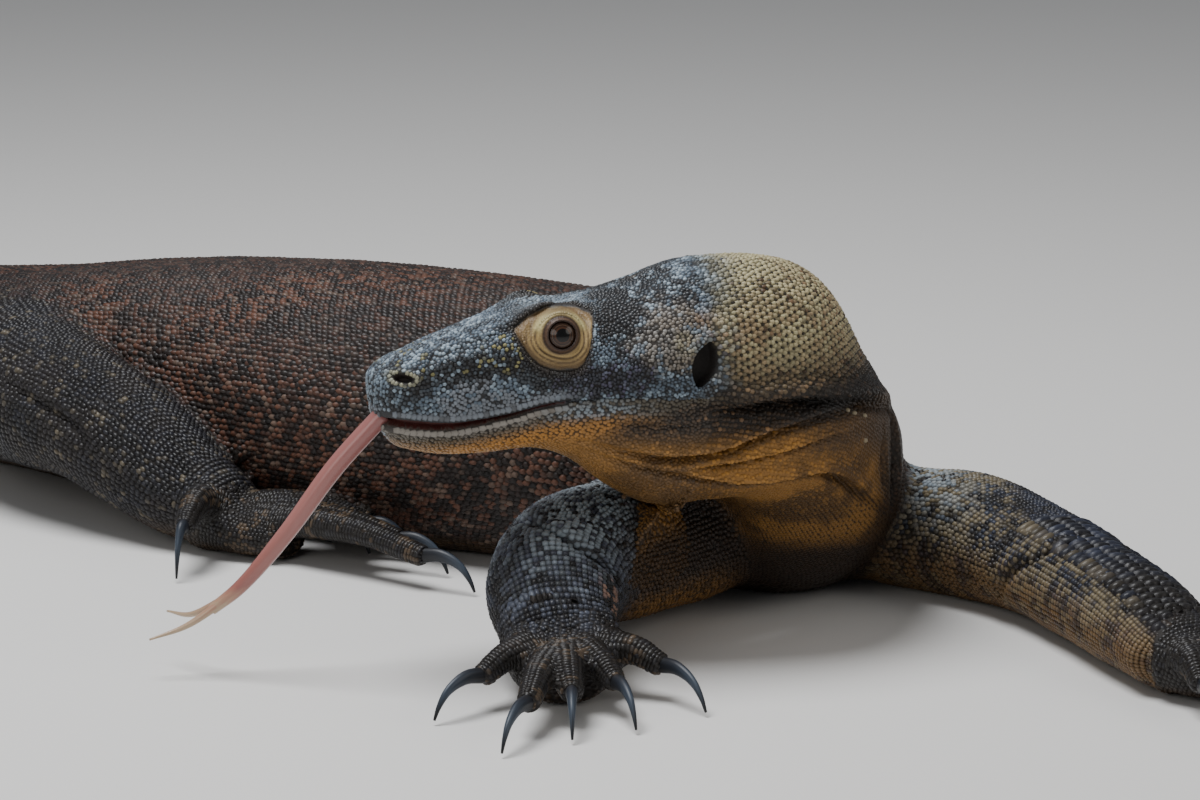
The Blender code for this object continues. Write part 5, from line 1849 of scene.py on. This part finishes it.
def scaleMaterial(name, finish):
    made, tree, shader, tone = hideMaterial(name, finish)
    split = tree.nodes.new("ShaderNodeSeparateXYZ")
    tree.links.new(attributeNode(tree, "petal", "Vector"), split.inputs[0])
    tree.links.new(split.outputs["Z"], tone.inputs["Crown"])
    tree.links.new(bumpNode(tree, tone.outputs["Grain"], 0.35, 0.0004), shader.inputs["Normal"])
    tune(shader, Specular_IOR_Level=0.3)
    return made


def skinMaterial():
    # Between the scales the skin is darker than the marking, a painted shade; bare lids and gums keep their
    # colour.
    made, tree, shader, tone = hideMaterial("bareSkin", {"Rim shade": 0.86, "Crown paling": 0.0, "Gloss": 0.5})
    bare = attributeNode(tree, "bare", "Fac")
    tree.links.new(bare, tone.inputs["Crown"])
    cells = tree.nodes.new("ShaderNodeTexVoronoi")
    tune(cells, Scale=900.0)
    where = tree.nodes.new("ShaderNodeTexCoord")
    tree.links.new(where.outputs["Object"], cells.inputs["Vector"])
    tree.links.new(bumpNode(tree, cells.outputs["Distance"], 0.5, 0.0005), shader.inputs["Normal"])
    return made


coats = dict(
    head=scaleMaterial("headScales", {"Rim shade": 0.78, "Crown paling": 0.06, "Gloss": 0.26}),
    neck=scaleMaterial("neckScales", {"Rim shade": 0.62, "Crown paling": 0.02, "Gloss": 0.38}),
    body=scaleMaterial("bodyScales", {"Rim shade": 0.84, "Crown paling": 0.0, "Gloss": 0.36}),
    leg=scaleMaterial("legScales", {"Rim shade": 0.8, "Crown paling": 0.025, "Gloss": 0.32}),
)
skinObject.data.materials.append(skinMaterial())


def finishPiece(obj, nodes=()):
    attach(obj, "root")
    if nodes:
        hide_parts(*nodes)


def coatPiece(name, sites, shape, finish, along=1.16, across=1.08, uneven=0.14):
    count = len(sites["point"])
    chance = dice.random((count, 3))
    colour = hideColour(sites["point"], sites["normal"], chance)
    napeDots(colour, sites["point"], sites["mark"])
    mesh = bpy.data.meshes.new(name + "Sites")
    mesh.vertices.add(count)
    setPoints(mesh, sites["point"])
    guides = dict(rise=sites["normal"], lie=sites["lie"], size=sites["size"],
                  spot=np.hstack([sites["spot"], np.zeros((count, 1))]))
    for label, values in guides.items():
        addAttribute(mesh, label, "FLOAT_VECTOR", values)
    addAttribute(mesh, "hide", "FLOAT_COLOR", colour)
    obj = makeObject(name, mesh)
    modifier = obj.modifiers.new("Plant", "NODES")
    modifier.node_group = scaleTree
    setInput(modifier, "Scale shape", shapes[shape])
    setInput(modifier, "Overlap along", along)
    setInput(modifier, "Overlap across", across)
    setInput(modifier, "Height", 1.0)
    setInput(modifier, "Uneven", uneven)
    setInput(modifier, "Material", coats[finish])
    result = plainMesh(obj)
    obj.modifiers.clear()
    obj.data = result
    points = meshPoints(result)
    points[:, 2] = np.maximum(points[:, 2], 0.0001)
    setPoints(result, points)
    bakeMap(result)
    for label in guides:
        result.attributes.remove(result.attributes[label])
    finishPiece(obj)
    print(f"{name}: {count} scales, {len(result.polygons)} triangles")


petalBreadth = 0.003  # of the unwrap's breadth, for one scale


def bakeMap(mesh):  # each scale is a small patch at its root's place on the part's own unwrap
    spot, petal = (readVectors(mesh.attributes[label].data, "vector") for label in ("spot", "petal"))
    corner = np.empty(len(mesh.loops), np.int32)
    mesh.loops.foreach_get("vertex_index", corner)
    layer = mesh.uv_layers.new(name="OFBake")
    uv = spot[corner, :2] + petal[corner, :2] * petalBreadth
    layer.data.foreach_set("uv", np.clip(uv, 0, 1).astype(np.float32).ravel())


faceSites = joinSites([thin(joinSites([lidSites(), lipSites()]), 0.5), scatterPebbles()])
onFace = headPlace(faceSites["point"])[0] < 0.086
for label, chosen in (("Face", onFace), ("Head", ~onFace)):
    coatPiece("scales" + label, pick(faceSites, chosen), "pebble", "head", 1.26, 1.2)
neck = neckSites()
rearHalf = neck["spot"][:, 0] > 0.5
for label, chosen in (("Front", ~rearHalf), ("Rear", rearHalf)):
    coatPiece("scalesNeck" + label, pick(neck, chosen), "grain", "neck")
for label, cut in trunkCuts.items():
    coatPiece("scalesTrunk" + label, trunkSites(*cut), "keeled", "body")
for label, cuts in tailCuts.items():
    coatPiece("scalesTail" + label, tailSites(cuts), "keeled", "body")
for name in limbs:
    coatPiece("scales" + name[0].upper() + name[1:], legSites(name), "bead", "leg")
coatPiece("scalesJoins", fillSites(), "bead", "body", 1.25, 1.2, 0.2)
fleshNodes = [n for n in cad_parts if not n.startswith(("claw_", "eye_", "tongue"))]
finishPiece(skinObject, fleshNodes)

iris = dict(
    reach=0.008,  # how far from the pupil's middle the tones run
    rings=[(0.0, (3, 3, 3)), (0.0032, (4, 3, 3)), (0.0034, (70, 44, 28)), (0.004, (58, 36, 22)),
           (0.0047, (30, 18, 12)), (0.0051, (92, 66, 46)), (0.0054, (34, 20, 14)), (0.006, (60, 40, 27)),
           (0.0067, (18, 11, 8))],
    cornea=0.0005, corneaReach=0.38,  # the bulge over the iris, and its angle from the eye's axis
)


def eyeMaterial():
    made, tree, shader = material("eyeGloss")
    share = mathNode(tree, "DIVIDE", attributeNode(tree, "fromPupil", "Fac"), iris["reach"])
    noise = noiseNode(tree, 700.0, 3.0)
    wavy = mathNode(tree, "ADD", share, mathNode(tree, "MULTIPLY_ADD", noise, 0.06, -0.03))
    stops = [(place / iris["reach"], tone) for place, tone in iris["rings"]]
    tree.links.new(rampNode(tree, wavy, stops), shader.inputs["Base Color"])
    tune(shader, Roughness=0.25, Specular_IOR_Level=0.2, Coat_Weight=0.45, Coat_Roughness=0.04)
    return made


def buildEyes():
    finish = eyeMaterial()
    for node, sign in (("eye_left", -1), ("eye_right", 1)):
        centre, axis, ahead, _ = eyeFrame(sign)
        bm = bmesh.new()
        bmesh.ops.create_uvsphere(bm, u_segments=48, v_segments=32, radius=1.0)
        mesh = bpy.data.meshes.new(node + "Ball")
        bm.to_mesh(mesh)
        bm.free()
        local = meshPoints(mesh)
        away = np.arccos(np.clip(local[:, 2], -1, 1))
        radius = eye["radius"] + iris["cornea"] * bell(away / iris["corneaReach"])
        third = np.cross(axis, ahead)
        outward = local[:, :1] * ahead + local[:, 1:2] * third + local[:, 2:] * axis
        points = centre + radius[:, None] * outward
        setPoints(mesh, points)
        addAttribute(mesh, "fromPupil", "FLOAT", away * eye["radius"])
        bm = bmesh.new()
        bm.from_mesh(mesh)
        if bm.calc_volume(signed=True) < 0:
            bmesh.ops.reverse_faces(bm, faces=bm.faces)
        bm.to_mesh(mesh)
        bm.free()
        mesh.shade_smooth()
        mesh.materials.append(finish)
        finishPiece(makeObject("eyeball" + ("Left" if sign < 0 else "Right"), mesh), [node])


buildEyes()

def tubeMesh(rows, count, sides, flatten=1.0):
    turn = fullTurn(sides)
    grid = tubeGrid(rows, np.linspace(0, len(rows) - 1, count), turn, flatten)
    share = np.repeat(np.linspace(0, 1, count), sides)
    run = np.stack([share, np.tile(np.cos(turn), count), np.tile(np.sin(turn), count)], axis=1)
    run = np.vstack([run, (0, 0, 0), (1, 0, 0)])
    return gridPoints(grid), gridFaces(count, sides), run


def joinTubes(name, tubes):
    points, faces, start = [], [], 0
    for p, f, _ in tubes:
        points.append(p)
        faces += [tuple(start + i for i in face) for face in f]
        start += len(p)
    mesh = makeMesh(name, np.vstack(points), faces)
    addAttribute(mesh, "run", "FLOAT_VECTOR", np.vstack([run for _, _, run in tubes]))
    mesh.shade_smooth()
    return makeObject(name, mesh)


def streakMaterial(name, tints, rough, streaks, grain):
    # Tints from root to tip, with pale streaks that run lengthwise.
    made, tree, shader = material(name)
    split = tree.nodes.new("ShaderNodeSeparateXYZ")
    run = attributeNode(tree, "run", "Vector")
    tree.links.new(run, split.inputs[0])
    stretch = tree.nodes.new("ShaderNodeVectorMath")
    stretch.operation = "MULTIPLY"
    stretch.inputs[1].default_value = streaks
    tree.links.new(run, stretch.inputs[0])
    noise = tree.nodes.new("ShaderNodeTexNoise")
    tune(noise, Scale=1.0, Detail=4.0)
    tree.links.new(stretch.outputs["Vector"], noise.inputs["Vector"])
    shift = mathNode(tree, "MULTIPLY_ADD", noise.outputs["Fac"], 0.5, -0.25)
    wavy = mathNode(tree, "ADD", split.outputs["X"], shift)
    tree.links.new(rampNode(tree, wavy, tints), shader.inputs["Base Color"])
    level = mathNode(tree, "MULTIPLY_ADD", noise.outputs["Fac"], 0.2, rough - 0.1)
    tree.links.new(level, shader.inputs["Roughness"])
    tree.links.new(bumpNode(tree, noise.outputs["Fac"], grain, 0.0004), shader.inputs["Normal"])
    return made, shader


def buildClaws():
    tubes = []
    for name, foot in feet.items():
        for digit in foot[4]:
            tubes.append(tubeMesh(clawRows(name, digit), 26, 16, 0.78))
    claws = joinTubes("claws", tubes)
    made, shader = streakMaterial("clawHorn", claw["tints"], 0.42, (1.6, 2.4, 2.4), 0.3)
    tune(shader, Specular_IOR_Level=0.35)
    claws.data.materials.append(made)
    finishPiece(claws, [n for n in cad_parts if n.startswith("claw_")])


tongueShape = dict(
    tints=[(0.0, (150, 96, 92)), (0.45, (160, 104, 98)), (0.7, (150, 92, 84)), (0.9, (172, 132, 108)),
           (1.0, (176, 152, 124))],
    stem=[(-0.004, -0.334, 0.1295, 0.0048), (-0.027, -0.3352, 0.104, 0.0047), (-0.052, -0.3356, 0.07, 0.0042),
          (-0.0745, -0.335, 0.0436, 0.0034), (-0.088, -0.334, 0.0325, 0.0028)],
    tines=[
        [(-0.082, -0.3345, 0.0372, 0.0023), (-0.1, -0.337, 0.0252, 0.0015), (-0.118, -0.34, 0.019, 0.0005)],
        [(-0.082, -0.3335, 0.0372, 0.0023), (-0.099, -0.324, 0.0275, 0.0014),
         (-0.112, -0.31, 0.0255, 0.0005)],
    ],
)


def buildTongue():
    tubes = [tubeMesh(tongueShape["stem"], 60, 24)]
    for rows in tongueShape["tines"]:
        points, faces, run = tubeMesh(rows, 30, 16)
        run[:, 0] = 0.85 + 0.3 * run[:, 0]
        tubes.append((points, faces, run))
    tongue = joinTubes("forkedTongue", tubes)
    made, shader = streakMaterial("tongueFlesh", tongueShape["tints"], 0.34, (5.0, 1.2, 1.2), 0.1)
    tune(shader, Coat_Weight=0.5, Coat_Roughness=0.15)
    tongue.data.materials.append(made)
    finishPiece(tongue, ["tongue"])


buildClaws()
buildTongue()
for shape in shapes.values():
    bpy.data.objects.remove(shape)
print("claws and tongue")

studio = dict(
    floor=(0.74, 0.73, 0.71), floorReach=9, floorHeight=-0.0004,
    sky=(0.92, 0.95, 1.0), skyStrength=0.22,
    lamps=dict(  # place, what it points at, breadth, power and tint
        overhead=((-0.45, -0.25, 1.9), (0.0, -0.15, 0.05), 1.1, 47, (0.97, 0.98, 1.0)),
        front=((-1.1, -2.0, 1.0), (0.05, -0.25, 0.08), 1.2, 8, (1.0, 0.97, 0.93)),
        side=((1.7, -0.9, 1.0), (0.1, -0.2, 0.05), 1.2, 6, (1.0, 0.95, 0.88)),
    ),
    camera=(0.1, -2.445, 0.585), cameraPitch=78, lens=135.0,
)


def place(name, data, location):
    obj = makeObject(name, data)
    obj.location = location
    return obj


def buildStudio():
    reach, height = studio["floorReach"], studio["floorHeight"]
    corners = [(x * reach, y * reach, height) for x, y in ((-1, -1), (1, -1), (1, 1), (-1, 1))]
    floor = makeObject("floor", makeMesh("floor", corners, [(0, 1, 2, 3)]))
    made, _, shader = material("paleFloor")
    tune(shader, Base_Color=(*studio["floor"], 1), Roughness=0.8)
    floor.data.materials.append(made)
    world = bpy.data.worlds.new("studio")
    world.use_nodes = True
    tune(world.node_tree.nodes["Background"], Color=(*studio["sky"], 1), Strength=studio["skyStrength"])
    bpy.context.scene.world = world
    for name, (spot, aim, breadth, power, tint) in studio["lamps"].items():
        lamp = bpy.data.lights.new(name, "AREA")
        lamp.shape = "DISK"
        lamp.size = breadth
        lamp.energy = power
        lamp.color = tint
        holder = place(name, lamp, spot)
        holder.rotation_euler = (Vector(aim) - Vector(spot)).to_track_quat("-Z", "Y").to_euler()


def buildCamera():
    lens = bpy.data.cameras.new("view")
    lens.lens = studio["lens"]
    lens.sensor_width = 36.0
    lens.clip_end = 60.0
    camera = place("view", lens, studio["camera"])
    camera.rotation_euler = (math.radians(studio["cameraPitch"]), 0, 0)
    bpy.context.scene.camera = camera


buildStudio()
buildCamera()
